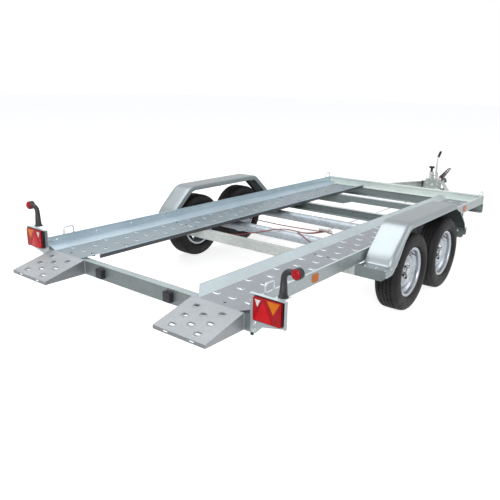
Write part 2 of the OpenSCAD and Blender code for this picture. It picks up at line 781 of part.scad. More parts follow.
module red_lenses() {
    color("firebrick")
    for (side = [-1, 1])
        on_side(side) {
            difference() {
                along_y(lens_back - lens_depth, lens_back) lens_area();
                along_y(lens_back - lens_depth - eps, lens_back + eps) offset(delta = lens_gap)
                    polygon(clear_triangle);
                along_y(lens_back - lens_depth - eps, lens_back + eps) offset(delta = lens_gap)
                    polygon(amber_triangle);
            }
            marker_lens(-1);
        }
}

module amber_lenses() {
    color("darkorange")
    for (side = [-1, 1])
        on_side(side)
        along_y(lens_back - lens_depth, lens_back)
            intersection() {
                polygon(amber_triangle);
                lens_area();
            }
}

module clear_lenses() {
    color("white")
    for (side = [-1, 1])
        on_side(side) {
            along_y(lens_back - lens_depth, lens_back)
                intersection() {
                    polygon(clear_triangle);
                    lens_area();
                }
            marker_lens(1);
        }
}

marker_foot_z = bracket_top;
marker_lean = 90;
marker_bend = 45;
stalk_low = 50;
stalk_mid = 36;
stalk_top = 28;
stalk_sides = 16;
module marker_stalk(upright, lean_run) {
    low = [marker_foot_x, marker_foot_z];
    turn = low + [marker_bend, upright];
    ways = concat([[low[0], low[1] + marker_foot_height / 2, 0, stalk_low]],
        [for (k = [0 : 6])
            let (a = marker_lean * k / 6)
            [turn[0] - marker_bend * cos(a), turn[1] + marker_bend * sin(a), a, stalk_mid]],
        [[marker_place, marker_height, marker_lean, stalk_top]]);
    skin([for (w = ways)
        [for (j = [0 : stalk_sides - 1])
            let (a = 360 * j / stalk_sides)
            [w[0] + w[3] / 2 * cos(a) * cos(w[2]), marker_y + w[3] / 2 * sin(a),
             w[1] - w[3] / 2 * cos(a) * sin(w[2])]]]);
}
module marker_arms() {
    out = marker_place - marker_foot_x;
    lean_run = (out - marker_bend * (1 - cos(marker_lean))) / sin(marker_lean);
    upright = marker_height - marker_foot_z - marker_bend * sin(marker_lean) - lean_run * cos(marker_lean);
    color("#1c1c1e")
    for (side = [-1, 1])
        on_side(side)
        union() {
            translate([marker_foot_x, marker_y, marker_foot_z]) cylinder(d = marker_foot_width, h = marker_foot_height);
            marker_stalk(upright, lean_run);
            translate([marker_place, marker_y + marker_depth / 2, marker_height])
                rotate([90, 0, 0]) cylinder(d = marker_diameter, h = marker_depth);
        }
}

// Small pieces on the deck frame
buffer_place = 345;
buffer_size = 72;
buffer_depth = 34;
buffer_corner = 10;
buffer_step = 5;
module rubber_buffers() {
    color("#1c1c1e")
    for (side = [-1, 1])
        union() {
            along_y(deck_rear - buffer_depth + buffer_step, deck_rear)
                translate([side * buffer_place, (beam_top + beam_bottom) / 2])
                round_square(buffer_size, buffer_size, buffer_corner);
            along_y(deck_rear - buffer_depth, deck_rear - buffer_depth + buffer_step)
                translate([side * buffer_place, (beam_top + beam_bottom) / 2])
                round_square(buffer_size - 2 * buffer_step, buffer_size - 2 * buffer_step, buffer_corner);
        }
}

loop_rod = 12;
loop_span = 100;
loop_rise = 62;
loop_corner = 16;
rear_loop_place = 186;
front_loop_place = deck_length - 120;
module lashing_loop() {
    reach = (loop_span - loop_rod) / 2;
    leg = loop_rise - loop_rod / 2 - loop_corner;
    union() {
        for (end = [-1, 1]) {
            translate([0, end * reach, 0]) cylinder(d = loop_rod, h = leg, $fn = 24);
            translate([0, end * (reach - loop_corner), leg]) rotate([90, 0, 90])
                rotate([0, 0, end > 0 ? 0 : 90])
                rotate_extrude(angle = 90, $fn = 48)
                translate([loop_corner, 0]) circle(d = loop_rod, $fn = 24);
        }
        translate([0, loop_corner - reach, leg + loop_corner]) rotate([-90, 0, 0])
            cylinder(d = loop_rod, h = 2 * (reach - loop_corner), $fn = 24);
    }
}
module lashing_loops() {
    color("silver")
    for (side = [-1, 1])
        for (place = [rear_loop_place, front_loop_place])
            translate([side * (half_width - rail_top_flange / 2), deck_rear + place, rail_top])
                lashing_loop();
}

reflector_width = 62;
reflector_height = 52;
reflector_depth = 8;
rear_reflector_place = 683;
front_reflector_place = deck_length - 670;
module side_reflectors() {
    color("darkorange")
    for (side = [-1, 1])
        on_side(side)
        for (place = [rear_reflector_place, front_reflector_place])
            translate([half_width, deck_rear + place - reflector_width / 2,
                       (beam_top + rail_top) / 2 - reflector_height / 2])
                cube([reflector_depth, reflector_width, reflector_height]);
}

// Brake rod from the overrun unit to the equaliser behind the front axle
rod_diameter = 10;
rod_height = 298;
equaliser_width = 150;
equaliser_y = deck_rear + rear_wheel_place + axle_spacing + axle_lead - 75;
housing_front = ball_y - arm_setback + 30;
housing_rear = housing_front - housing_length;
housing_bottom = ball_height - 62;
relay_y = housing_rear + 40;
module brake_rod() {
    color("silver")
    union() {
        translate([0, equaliser_y, rod_height]) rotate([-90, 0, 0])
            cylinder(d = rod_diameter, h = relay_y - equaliser_y);
        translate([0, relay_y, rod_height - rod_diameter / 2])
            cylinder(d = 16, h = housing_bottom - rod_height + rod_diameter / 2);
        translate([-equaliser_width / 2, equaliser_y - 8, rod_height - 15])
            cube([equaliser_width, 16, 30]);
    }
}

// Brake cables: straight to the front wheels, and over the rear axle tube to the rear wheels
cable_diameter = 10;
cable_y = deck_rear + rear_wheel_place;
front_cable = [[40, equaliser_y - 8, rod_height], [40, equaliser_y - 24, rod_height],
               [54, equaliser_y - 46, rod_height], [100, equaliser_y - 58, rod_height],
               [300, equaliser_y - 62, rod_height - 6],
               [560, cable_y + axle_spacing - 46, rod_height - 10],
               [820, cable_y + axle_spacing - 50, rod_height - 4],
               [backplate_x - 40, cable_y + axle_spacing - 50, rod_height],
               [backplate_x, cable_y + axle_spacing - 50, rod_height]];
rear_cable = [[15, equaliser_y - 8, rod_height], [15, equaliser_y - 24, rod_height],
              [15, equaliser_y - 70, rod_height + 4],
              [14, cable_y + 420, 334], [16, cable_y + 280, 368], [34, cable_y + 170, 404],
              [76, cable_y + axle_lead, 424], [160, cable_y + axle_lead - 52, 414],
              [260, cable_y + axle_lead - 88, 386], [400, cable_y - 30, 348],
              [575, cable_y - 42, 312], [780, cable_y - 50, rod_height + 2],
              [backplate_x - 40, cable_y - 50, rod_height],
              [backplate_x, cable_y - 50, rod_height]];
module cable(route) {
    sides = 8;
    points = smooth_route(route, 3);
    last = len(points) - 1;
    skin([for (i = [0 : last])
        let (ahead = i == 0 ? route_way(route, 0)
             : i == last ? route_way(route, len(route) - 1) : unit(points[i + 1] - points[i - 1]))
        let (across = unit(cross(ahead, [0, 0, 1])))
        [for (j = [0 : sides - 1])
            points[i] + cable_diameter / 2 * (across * cos(360 * j / sides)
                                              + cross(across, ahead) * sin(360 * j / sides))]]);
}
module brake_cables() {
    color("firebrick")
    for (side = [-1, 1])
        on_side(side) {
            cable(front_cable);
            cable(rear_cable);
        }
}

// Overrun unit
lever_sheet = 6;
lever_x = 14;
lever_pin = 12;
lever_pivot_y = housing_front - 134;
housing_top = housing_bottom + housing_height;
lever_pivot_z = housing_top + 44;
cheek_inner = 28;
cheek_sheet = 5;
cheek_rise = 92;
plate_sheet = 8;
plate_half = 92;
housing_chamfer = 9;
module overrun_housing() {
    arm_inner = arm_tip - arm_flange / cos(arm_angle) + (arm_spread - arm_tip)
        * (arm_front_y - housing_rear - plate_sheet) / (arm_front_y - deck_front);
    color("silver")
    difference() {
        union() {
            along_y(housing_rear, housing_front)
                polygon([[-housing_width / 2, housing_bottom + housing_chamfer],
                         [housing_chamfer - housing_width / 2, housing_bottom],
                         [housing_width / 2 - housing_chamfer, housing_bottom],
                         [housing_width / 2, housing_bottom + housing_chamfer],
                         [housing_width / 2, housing_top - housing_chamfer],
                         [housing_width / 2 - housing_chamfer, housing_top],
                         [housing_chamfer - housing_width / 2, housing_top],
                         [-housing_width / 2, housing_top - housing_chamfer]]);
            along_y(housing_rear, housing_rear + plate_sheet)
                polygon([[-arm_inner, beam_bottom + 20], [arm_inner, beam_bottom + 20],
                         [arm_inner, beam_top], [plate_half, beam_top + 16],
                         [plate_half, housing_top + 8], [-plate_half, housing_top + 8],
                         [-plate_half, beam_top + 16], [-arm_inner, beam_top]]);
            for (side = [-1, 1])
                on_side(side)
                along_x(cheek_inner, cheek_inner + cheek_sheet)
                polygon([[lever_pivot_y - 46, housing_top - eps], [lever_pivot_y + 46, housing_top - eps],
                         [lever_pivot_y + 30, housing_top + cheek_rise],
                         [lever_pivot_y - 24, housing_top + cheek_rise]]);
            translate([-cheek_inner - eps, lever_pivot_y, lever_pivot_z]) rotate([0, 90, 0])
                cylinder(d = lever_pin, h = 2 * (cheek_inner + eps));
            translate([lever_x + lever_sheet + running_gap, lever_pivot_y, lever_pivot_z])
                rotate([0, 90, 0])
                cylinder(d = 24, h = cheek_inner - lever_x - lever_sheet - running_gap + eps);
        }
        translate([0, housing_rear - eps, ball_height]) rotate([-90, 0, 0])
            cylinder(d = slide_diameter + 2 * pin_play, h = housing_length + 2 * eps);
    }
}

bellows_length = 90;
bellows_rear = housing_front;
bellows_front = bellows_rear + bellows_length;
bellows_folds = 6;
module drawbar_bellows() {
    pitch = bellows_length / bellows_folds;
    inner = slide_diameter / 2 + 4;
    color("#1c1c1e")
    translate([0, bellows_rear, ball_height]) rotate([-90, 0, 0])
    rotate_extrude($fn = 64)
    polygon(concat([[inner, 0]],
        [for (i = [0 : bellows_folds - 1]) each [[bellows_diameter / 2 - 10, i * pitch],
                                                [bellows_diameter / 2, (i + 0.5) * pitch]]],
        [[bellows_diameter / 2 - 10, bellows_length], [inner, bellows_length]]));
}

coupling_width = 66;
coupling_rim = 4;
coupling_rear = bellows_front;
coupling_top = ball_height + 48;
socket_mouth = 22;
ear_sheet = 6;
handle_width = 40;
handle_pin = 10;
handle_boss = 12;
handle_pivot_y = coupling_rear + 30;
handle_pivot_z = coupling_top + handle_boss + 3;
module coupling_head() {
    color("#2a2a2c")
    difference() {
        union() {
            translate([0, housing_rear + 20, ball_height]) rotate([-90, 0, 0])
                cylinder(d = slide_diameter, h = coupling_rear - housing_rear);
            intersection() {
                along_x(-coupling_width, coupling_width)
                    polygon([[coupling_rear, ball_height - slide_diameter / 2 - 4],
                             [coupling_rear + 40, ball_height - slide_diameter / 2 - 4],
                             [coupling_rear + 60, ball_height - socket_mouth],
                             [ball_y, ball_height - socket_mouth], [ball_y, ball_height + 30],
                             [ball_y - coupling_nose, coupling_top - 4],
                             [ball_y - coupling_nose - 14, coupling_top],
                             [coupling_rear, coupling_top]]);
                linear_extrude(coupling_top + eps)
                    polygon([[-coupling_width / 2 + 3, coupling_rear], [coupling_width / 2 - 3, coupling_rear],
                             [coupling_width / 2, coupling_rear + 30],
                             [coupling_nose - 6, ball_y], [6 - coupling_nose, ball_y],
                             [-coupling_width / 2, coupling_rear + 30]]);
            }
            translate([0, ball_y, ball_height - socket_mouth])
                cylinder(r = coupling_nose, h = socket_mouth);
            translate([0, ball_y, ball_height])
                rotate_extrude()
                intersection() {
                    circle(coupling_nose);
                    square([coupling_nose + eps, coupling_nose + eps]);
                }
            translate([0, ball_y, ball_height - socket_mouth])
                cylinder(r = coupling_nose + coupling_rim, h = 2 * coupling_rim);
            for (side = [-1, 1])
                on_side(side)
                translate([handle_width / 2 + running_gap, handle_pivot_y, 0])
                union() {
                    translate([0, -handle_boss, coupling_top - eps])
                        cube([ear_sheet, 2 * handle_boss, handle_pivot_z - coupling_top + eps]);
                    translate([0, 0, handle_pivot_z]) rotate([0, 90, 0])
                        cylinder(r = handle_boss, h = ear_sheet);
                }
            translate([-handle_width / 2 - eps, handle_pivot_y, handle_pivot_z]) rotate([0, 90, 0])
                cylinder(d = handle_pin, h = handle_width + 2 * eps);
        }
        translate([0, ball_y, ball_height]) sphere(socket_radius, $fn = 64);
        translate([0, ball_y, ball_height - socket_mouth - eps])
            cylinder(r = socket_radius, h = socket_mouth + eps);
    }
}

handle_tip_y = ball_y + handle_reach;
handle_tip_z = handle_pivot_z + 100;
module coupling_handle() {
    color("#1c1c1e")
    difference() {
        union() {
            translate([-handle_width / 2, handle_pivot_y, handle_pivot_z]) rotate([0, 90, 0])
                cylinder(r = handle_boss, h = handle_width);
            along_x(-handle_width / 2, handle_width / 2)
            polygon([[handle_pivot_y, handle_pivot_z - handle_boss],
                     [ball_y, coupling_top + 12], [handle_tip_y, handle_tip_z - 24],
                     [handle_tip_y, handle_tip_z], [ball_y - 20, coupling_top + 50],
                     [handle_pivot_y, handle_pivot_z + handle_boss]]);
        }
        translate([-handle_width / 2 - eps, handle_pivot_y, handle_pivot_z]) rotate([0, 90, 0])
            cylinder(d = handle_pin + 2 * pin_play, h = handle_width + 2 * eps);
    }
}

// Handbrake lever between the cheeks on the overrun housing, with its grip leaning forward
grip_length = 120;
grip_core = 14;
module lever_frame() {
    translate([lever_x, lever_pivot_y, lever_pivot_z]) children();
}
module grip_frame() {
    lever_frame()
    translate([lever_sheet / 2, 0, lever_length]) rotate([-grip_lean, 0, 0]) children();
}
module handbrake_lever() {
    color("slategray")
    difference() {
        union() {
            lever_frame() {
                rotate([0, 90, 0]) cylinder(d = 48, h = lever_sheet);
                along_x(0, lever_sheet)
                    polygon([[-22, 0], [22, 0], [10, lever_length], [-10, lever_length]]);
                translate([lever_sheet / 2, 0, lever_length]) rotate([0, 90, 0])
                    cylinder(d = 22, h = lever_sheet, center = true);
            }
            grip_frame() cylinder(d = grip_core, h = grip_length - 6);
        }
        lever_frame() translate([-eps, 0, 0]) rotate([0, 90, 0])
            cylinder(d = lever_pin + 2 * pin_play, h = lever_sheet + 2 * eps);
    }
}
module handbrake_grip() {
    color("#1c1c1e")
    grip_frame()
    translate([0, 0, 14])
    difference() {
        cylinder(d = grip_diameter, h = grip_length - 14);
        translate([0, 0, -eps]) cylinder(d = grip_core, h = grip_length - 20 + eps);
    }
}

// Jockey wheel on the left of the overrun housing
jockey_y = ball_y - jockey_setback;
clamp_z = 420;
clamp_height = 60;
outer_tube_bottom = 340;
outer_tube_top = 572;
tube_wall = 4;
inner_tube_diameter = jockey_tube_diameter - 2 * tube_wall - 2 * pin_play;
fork_top = 236;
inner_tube_length = 194;
jockey_axle = 16;
fork_sheet = 4;
spindle_diameter = 20;
module jockey_frame() {
    translate([-jockey_offset, jockey_y, 0]) children();
}
module jockey_clamp() {
    color("silver")
    difference() {
        union() {
            translate([-jockey_offset, jockey_y, clamp_z])
                cylinder(d = jockey_tube_diameter + 20, h = clamp_height);
            translate([-jockey_offset, jockey_y - 40, clamp_z])
                cube([jockey_offset - housing_width / 2, 60, 8]);
        }
        translate([-jockey_offset, jockey_y, clamp_z - eps])
            cylinder(d = jockey_tube_diameter, h = clamp_height + 2 * eps);
    }
}
module jockey_outer_tube() {
    length = outer_tube_top - outer_tube_bottom;
    color("silver")
    jockey_frame()
    translate([0, 0, outer_tube_bottom])
    difference() {
        cylinder(d = jockey_tube_diameter, h = length);
        translate([0, 0, -eps]) cylinder(d = jockey_tube_diameter - 2 * tube_wall, h = length - 10 + eps);
        cylinder(d = spindle_diameter + 2 * pin_play, h = length + eps);
    }
}
module jockey_inner_tube() {
    r = jockey_wheel_diameter / 2;
    half = jockey_wheel_width / 2 + 4;
    color("silver")
    jockey_frame()
    union() {
        translate([0, 0, fork_top]) cylinder(d = inner_tube_diameter, h = inner_tube_length);
        translate([-half - fork_sheet, -30, fork_top - 8]) cube([2 * (half + fork_sheet), 60, 10]);
        for (side = [-1, 1])
            on_side(side)
            translate([half, -25, r - 20]) cube([fork_sheet, 50, fork_top - r + 14]);
        translate([-half - 8, 0, r]) rotate([0, 90, 0]) cylinder(d = jockey_axle, h = 2 * half + 16);
    }
}
module jockey_wheel() {
    r = jockey_wheel_diameter / 2;
    half = jockey_wheel_width / 2;
    color("#1c1c1e")
    jockey_frame()
    translate([0, 0, r]) rotate([0, 90, 0])
    rotate_extrude($fn = 96)
    polygon([[jockey_axle / 2 + pin_play, -half], [24, -half], [28, 6 - half], [28, -8], [r - 34, -8],
             [r - 30, 4 - half], [r - 12, 2 - half], [r - 4, 8 - half], [r, 16 - half],
             [r, half - 16], [r - 4, half - 8], [r - 12, half - 2], [r - 30, half - 4],
             [r - 34, 8], [28, 8], [28, half - 6], [24, half], [jockey_axle / 2 + pin_play, half]]);
}
module jockey_crank() {
    color("#1c1c1e")
    jockey_frame()
    union() {
        translate([0, 0, outer_tube_top - 40]) cylinder(d = spindle_diameter, h = 70);
        translate([0, 0, outer_tube_top + running_gap]) cylinder(d = 34, h = 46);
        translate([-34, 0, outer_tube_top + 62]) rotate([0, 90, 0]) cylinder(d = 32, h = 68);
    }
}

rear_beam();
front_beam();
lower_front_beam();
rear_crossmember();
middle_crossmember();
front_crossmember();
side_rail(-1);  // left_side_rail
side_rail(1);  // right_side_rail
runway(-1);  // left_runway
runway(1);  // right_runway
tail_ramp(-1);  // left_tail_ramp
tail_ramp(1);  // right_tail_ramp
drawbar_arm(-1);  // left_drawbar_arm
drawbar_arm(1);  // right_drawbar_arm
axle(rear_wheel_place);  // rear_axle
axle(rear_wheel_place + axle_spacing);  // front_axle
tyre_at(-1, rear_wheel_place);  // rear_left_tyre
tyre_at(1, rear_wheel_place);  // rear_right_tyre
tyre_at(-1, rear_wheel_place + axle_spacing);  // front_left_tyre
tyre_at(1, rear_wheel_place + axle_spacing);  // front_right_tyre
rim_at(-1, rear_wheel_place);  // rear_left_rim
rim_at(1, rear_wheel_place);  // rear_right_rim
rim_at(-1, rear_wheel_place + axle_spacing);  // front_left_rim
rim_at(1, rear_wheel_place + axle_spacing);  // front_right_rim
hub_at(-1, rear_wheel_place);  // rear_left_hub
hub_at(1, rear_wheel_place);  // rear_right_hub
hub_at(-1, rear_wheel_place + axle_spacing);  // front_left_hub
hub_at(1, rear_wheel_place + axle_spacing);  // front_right_hub
mudguard(-1);  // left_mudguard
mudguard(1);  // right_mudguard
mudguard_stays();
lamp_bracket(-1);  // left_lamp_bracket
lamp_bracket(1);  // right_lamp_bracket
lamp_housings();
red_lenses();
amber_lenses();
clear_lenses();
marker_arms();
rubber_buffers();
lashing_loops();
side_reflectors();
brake_rod();
brake_cables();
overrun_housing();
drawbar_bellows();
coupling_head();
coupling_handle();
handbrake_lever();
handbrake_grip();
jockey_clamp();
jockey_outer_tube();
jockey_inner_tube();
jockey_wheel();
jockey_crank();
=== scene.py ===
"""Dresses the tandem-axle car transporter trailer: finishes, tyre treads, small fittings, studio and camera."""

from __future__ import annotations

import json
import logging
import math
from dataclasses import dataclass
from enum import Enum
from typing import Iterable, Sequence

import bmesh
import bpy
from mathutils import Matrix, Vector

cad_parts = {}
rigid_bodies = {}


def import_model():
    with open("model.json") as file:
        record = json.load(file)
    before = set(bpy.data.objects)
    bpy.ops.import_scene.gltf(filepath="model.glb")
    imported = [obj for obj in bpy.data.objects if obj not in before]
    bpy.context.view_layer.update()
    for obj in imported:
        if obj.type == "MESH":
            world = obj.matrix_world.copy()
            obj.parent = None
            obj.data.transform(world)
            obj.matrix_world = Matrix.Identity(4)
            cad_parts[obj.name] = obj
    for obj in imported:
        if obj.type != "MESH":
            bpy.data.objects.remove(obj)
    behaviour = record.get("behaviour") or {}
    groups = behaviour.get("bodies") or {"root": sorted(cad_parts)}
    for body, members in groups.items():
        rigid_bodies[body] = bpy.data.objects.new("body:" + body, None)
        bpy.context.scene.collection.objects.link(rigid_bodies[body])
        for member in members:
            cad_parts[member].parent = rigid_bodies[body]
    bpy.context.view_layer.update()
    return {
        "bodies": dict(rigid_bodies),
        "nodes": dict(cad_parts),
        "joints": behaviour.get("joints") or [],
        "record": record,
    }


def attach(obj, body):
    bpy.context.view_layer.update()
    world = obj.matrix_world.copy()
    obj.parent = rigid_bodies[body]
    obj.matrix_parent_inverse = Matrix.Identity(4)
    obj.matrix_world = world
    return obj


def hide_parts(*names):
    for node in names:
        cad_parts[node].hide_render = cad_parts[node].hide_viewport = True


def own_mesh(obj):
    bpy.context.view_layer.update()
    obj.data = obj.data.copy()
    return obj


LOG = logging.getLogger("trailer")

Colour = tuple[float, float, float]


class Side(Enum):
    """Side of the trailer, as the sign of its X."""

    LEFT = -1
    RIGHT = 1


AXLES: dict[str, float] = {"rear": -1059.5, "front": -353.5}


def srgb(red: int, green: int, blue: int) -> Colour:
    """Linear colour of a screen colour.

    Args:
        red: Red from 0 to 255.
        green: Green from 0 to 255.
        blue: Blue from 0 to 255.

    Returns:
        The linear red, green and blue, from 0 to 1.
    """

    def linear(value: int) -> float:
        """Linear value of one channel."""
        part = value / 255
        return part / 12.92 if part <= 0.04045 else ((part + 0.055) / 1.055) ** 2.4

    return linear(red), linear(green), linear(blue)


class NodeSheet:
    """Adds nodes to one material or shader group, and joins them."""

    def __init__(self, tree: bpy.types.NodeTree) -> None:
        """Starts on a node tree.

        Args:
            tree: The tree that gets the nodes.
        """
        self.tree = tree

    def add(self, kind: str, settings: dict | None = None, **values: object) -> bpy.types.Node:
        """Adds a node.

        Args:
            kind: The node's type, without its ShaderNode prefix.
            settings: The node's own properties by name.
            **values: Input values by socket name, with _ for a space, or sockets to join.

        Returns:
            The new node.
        """
        node = self.tree.nodes.new("ShaderNode" + kind)
        for name, value in (settings or {}).items():
            setattr(node, name, value)
        for name, value in values.items():
            self.feed(node.inputs[name.replace("_", " ")], value)
        return node

    def feed(self, socket: bpy.types.NodeSocket, value: object) -> None:
        """Gives a socket a value, or joins it to another socket.

        Args:
            socket: The input socket.
            value: A number, a colour or an output socket.
        """
        if isinstance(value, bpy.types.NodeSocket):
            self.tree.links.new(value, socket)
        elif isinstance(value, tuple) and len(value) == 3 and socket.type == "RGBA":
            socket.default_value = (*value, 1.0)
        else:
            socket.default_value = value

    def math(self, operation: str, first: object, second: object = 0.5, clamp: bool = False) -> bpy.types.NodeSocket:
        """Result of a Math node.

        Args:
            operation: The node's operation.
            first: First input.
            second: Second input.
            clamp: Whether the result is kept from 0 to 1.

        Returns:
            The result's socket.
        """
        node = self.add("Math", {"operation": operation, "use_clamp": clamp})
        self.feed(node.inputs[0], first)
        self.feed(node.inputs[1], second)
        return node.outputs[0]

    def blend(self, factor: object, first: object, second: object, mode: str = "MIX") -> bpy.types.NodeSocket:
        """Mix of two colours.

        Args:
            factor: How much of the second colour there is.
            first: First colour.
            second: Second colour.
            mode: The blend mode.

        Returns:
            The mixed colour's socket.
        """
        node = self.add("Mix", {"data_type": "RGBA", "blend_type": mode})
        self.feed(node.inputs[0], factor)
        self.feed(node.inputs[6], first)
        self.feed(node.inputs[7], second)
        return node.outputs[2]

    def span(self, value: object, low: float, high: float, to_low: float = 0.0,
             to_high: float = 1.0) -> bpy.types.NodeSocket:
        """Value moved from one range to another, and clamped.

        Args:
            value: The value's socket.
            low: Low end of its range.
            high: High end of its range.
            to_low: Result at the low end.
            to_high: Result at the high end.

        Returns:
            The result's socket.
        """
        node = self.add("MapRange")
        self.feed(node.inputs[0], value)
        for index, number in enumerate((low, high, to_low, to_high), start=1):
            node.inputs[index].default_value = number
        return node.outputs[0]


class ShaderKit:
    """Builds the shader groups that several finishes share, each once."""

    def __init__(self) -> None:
        """Starts with no group built."""
        self.groups: dict[str, bpy.types.NodeTree] = {}

    def group(self, name: str) -> bpy.types.NodeTree:
        """The group of that name, built at its first use.

        Args:
            name: One of zinc_spangle, surface_grain and road_film.

        Returns:
            The shader group.
        """
        if name not in self.groups:
            makers = {"zinc_spangle": self._zinc_spangle, "surface_grain": self._surface_grain,
                      "road_film": self._road_film}
            self.groups[name] = makers[name](name)
        return self.groups[name]

    @staticmethod
    def _sockets(tree: bpy.types.NodeTree, inputs: Sequence[tuple[str, str, object]],
                 outputs: Sequence[tuple[str, str]]) -> tuple[bpy.types.Node, bpy.types.Node]:
        """Makes a group's sockets.

        Args:
            tree: The group.
            inputs: Name, kind and default of each input.
            outputs: Name and kind of each output.

        Returns:
            The group's input and output nodes.
        """
        for name, kind, default in inputs:
            socket = tree.interface.new_socket(name, in_out="INPUT", socket_type="NodeSocket" + kind)
            socket.default_value = (*default, 1.0) if kind == "Color" else default
        for name, kind in outputs:
            tree.interface.new_socket(name, in_out="OUTPUT", socket_type="NodeSocket" + kind)
        return tree.nodes.new("NodeGroupInput"), tree.nodes.new("NodeGroupOutput")

    def _zinc_spangle(self, name: str) -> bpy.types.NodeTree:
        """Crystals, clouds and specks of a zinc coat."""
        tree = bpy.data.node_groups.new(name, "ShaderNodeTree")
        come, go = self._sockets(
            tree,
            [("Base", "Color", (0.4, 0.42, 0.44)), ("Bright", "Color", (0.6, 0.63, 0.65)),
             ("Crystals per metre", "Float", 70.0), ("Contrast", "Float", 0.5), ("Roughness", "Float", 0.42)],
            [("Color", "Color"), ("Roughness", "Float"), ("Height", "Float")])
        sheet = NodeSheet(tree)
        place = sheet.add("TexCoord").outputs["Object"]
        bend = sheet.add("TexNoise", Vector=place, Scale=34.0, Detail=2.0)
        pushed = sheet.add("VectorMath", {"operation": "MULTIPLY_ADD"})
        sheet.feed(pushed.inputs[0], bend.outputs["Color"])
        pushed.inputs[1].default_value = (0.012, 0.012, 0.012)
        sheet.feed(pushed.inputs[2], place)
        crystal = sheet.add("TexVoronoi", Vector=pushed.outputs[0], Scale=come.outputs["Crystals per metre"])
        shade = sheet.add("SeparateColor", Color=crystal.outputs["Color"])
        cloud = sheet.add("TexNoise", Vector=place, Scale=3.2, Detail=4.0, Roughness=0.6)
        speck = sheet.add("TexNoise", Vector=place, Scale=260.0, Detail=2.0)
        centred = sheet.math("SUBTRACT", shade.outputs[0], 0.5)
        spread = sheet.math("MULTIPLY", centred, come.outputs["Contrast"])
        clouded = sheet.math("ADD", spread, sheet.span(cloud.outputs[0], 0.3, 0.7, 0.2, 0.8))
        mixed = sheet.blend(sheet.math("ADD", clouded, 0.0, True), come.outputs["Base"], come.outputs["Bright"])
        dark = sheet.span(speck.outputs[0], 0.66, 0.78, 0.0, 0.16)
        sheet.feed(go.inputs["Color"], sheet.blend(dark, mixed, (0.2, 0.21, 0.22)))
        rough = sheet.math("ADD", come.outputs["Roughness"],
                           sheet.span(shade.outputs[1], 0.0, 1.0, -0.07, 0.09))
        sheet.feed(go.inputs["Roughness"], sheet.math("ADD", rough, sheet.span(cloud.outputs[0], 0.3, 0.7, -0.04, 0.05)))
        sheet.feed(go.inputs["Height"], sheet.math("ADD", sheet.math("MULTIPLY", shade.outputs[2], 0.35),
                                                   sheet.math("MULTIPLY", speck.outputs[0], 0.65)))
        return tree

    def _surface_grain(self, name: str) -> bpy.types.NodeTree:
        """Fine moulded grain with slow changes of shade."""
        tree = bpy.data.node_groups.new(name, "ShaderNodeTree")
        come, go = self._sockets(
            tree, [("Base", "Color", (0.04, 0.04, 0.04)), ("Worn", "Color", (0.1, 0.1, 0.1)),
                   ("Grains per metre", "Float", 900.0), ("Roughness", "Float", 0.5)],
            [("Color", "Color"), ("Roughness", "Float"), ("Height", "Float")])
        sheet = NodeSheet(tree)
        place = sheet.add("TexCoord").outputs["Object"]
        grain = sheet.add("TexNoise", Vector=place, Scale=come.outputs["Grains per metre"], Detail=1.0)
        patch = sheet.add("TexNoise", Vector=place, Scale=14.0, Detail=5.0, Roughness=0.65)
        sheet.feed(go.inputs["Color"], sheet.blend(sheet.span(patch.outputs[0], 0.42, 0.72), come.outputs["Base"],
                                                   come.outputs["Worn"]))
        sheet.feed(go.inputs["Roughness"], sheet.math("ADD", come.outputs["Roughness"],
                                                      sheet.span(patch.outputs[0], 0.3, 0.7, -0.08, 0.1)))
        sheet.feed(go.inputs["Height"], grain.outputs[0])
        return tree

    def _road_film(self, name: str) -> bpy.types.NodeTree:
        """Thin film of dust that is thicker low down and in blotches."""
        tree = bpy.data.node_groups.new(name, "ShaderNodeTree")
        come, go = self._sockets(
            tree, [("Color", "Color", (0.5, 0.5, 0.5)), ("Film", "Color", (0.32, 0.31, 0.29)),
                   ("Amount", "Float", 0.2), ("Top", "Float", 0.6)], [("Color", "Color"), ("Mask", "Float")])
        sheet = NodeSheet(tree)
        place = sheet.add("TexCoord").outputs["Object"]
        blotch = sheet.add("TexNoise", Vector=place, Scale=9.0, Detail=6.0, Roughness=0.7)
        height = sheet.add("SeparateXYZ", Vector=place).outputs[2]
        low = sheet.math("SUBTRACT", 1.0, sheet.math("DIVIDE", height, come.outputs["Top"]), True)
        mask = sheet.math("MULTIPLY", sheet.math("MULTIPLY", sheet.span(blotch.outputs[0], 0.35, 0.7), low),
                          come.outputs["Amount"], True)
        sheet.feed(go.inputs["Color"], sheet.blend(mask, come.outputs["Color"], come.outputs["Film"]))
        sheet.feed(go.inputs["Mask"], mask)
        return tree


class Finish:
    """A finish of the trailer that makes its own material."""

    name: str

    def make(self, kit: ShaderKit) -> bpy.types.Material:
        """Builds the material.

        Args:
            kit: The shared shader groups.

        Returns:
            The material.
        """
        raise NotImplementedError

    def _start(self) -> tuple[bpy.types.Material, NodeSheet, bpy.types.Node]:
        """A new material with its node sheet and its surface shader."""
        material = bpy.data.materials.new(self.name)
        material.use_nodes = True
        return material, NodeSheet(material.node_tree), material.node_tree.nodes["Principled BSDF"]

    @staticmethod
    def _raise(sheet: NodeSheet, surface: bpy.types.Node, height: bpy.types.NodeSocket, strength: float,
               distance: float) -> None:
        """Feeds a height to the surface as a bump."""
        bump = sheet.add("Bump", Height=height, Strength=strength, Distance=distance)
        sheet.feed(surface.inputs["Normal"], bump.outputs[0])


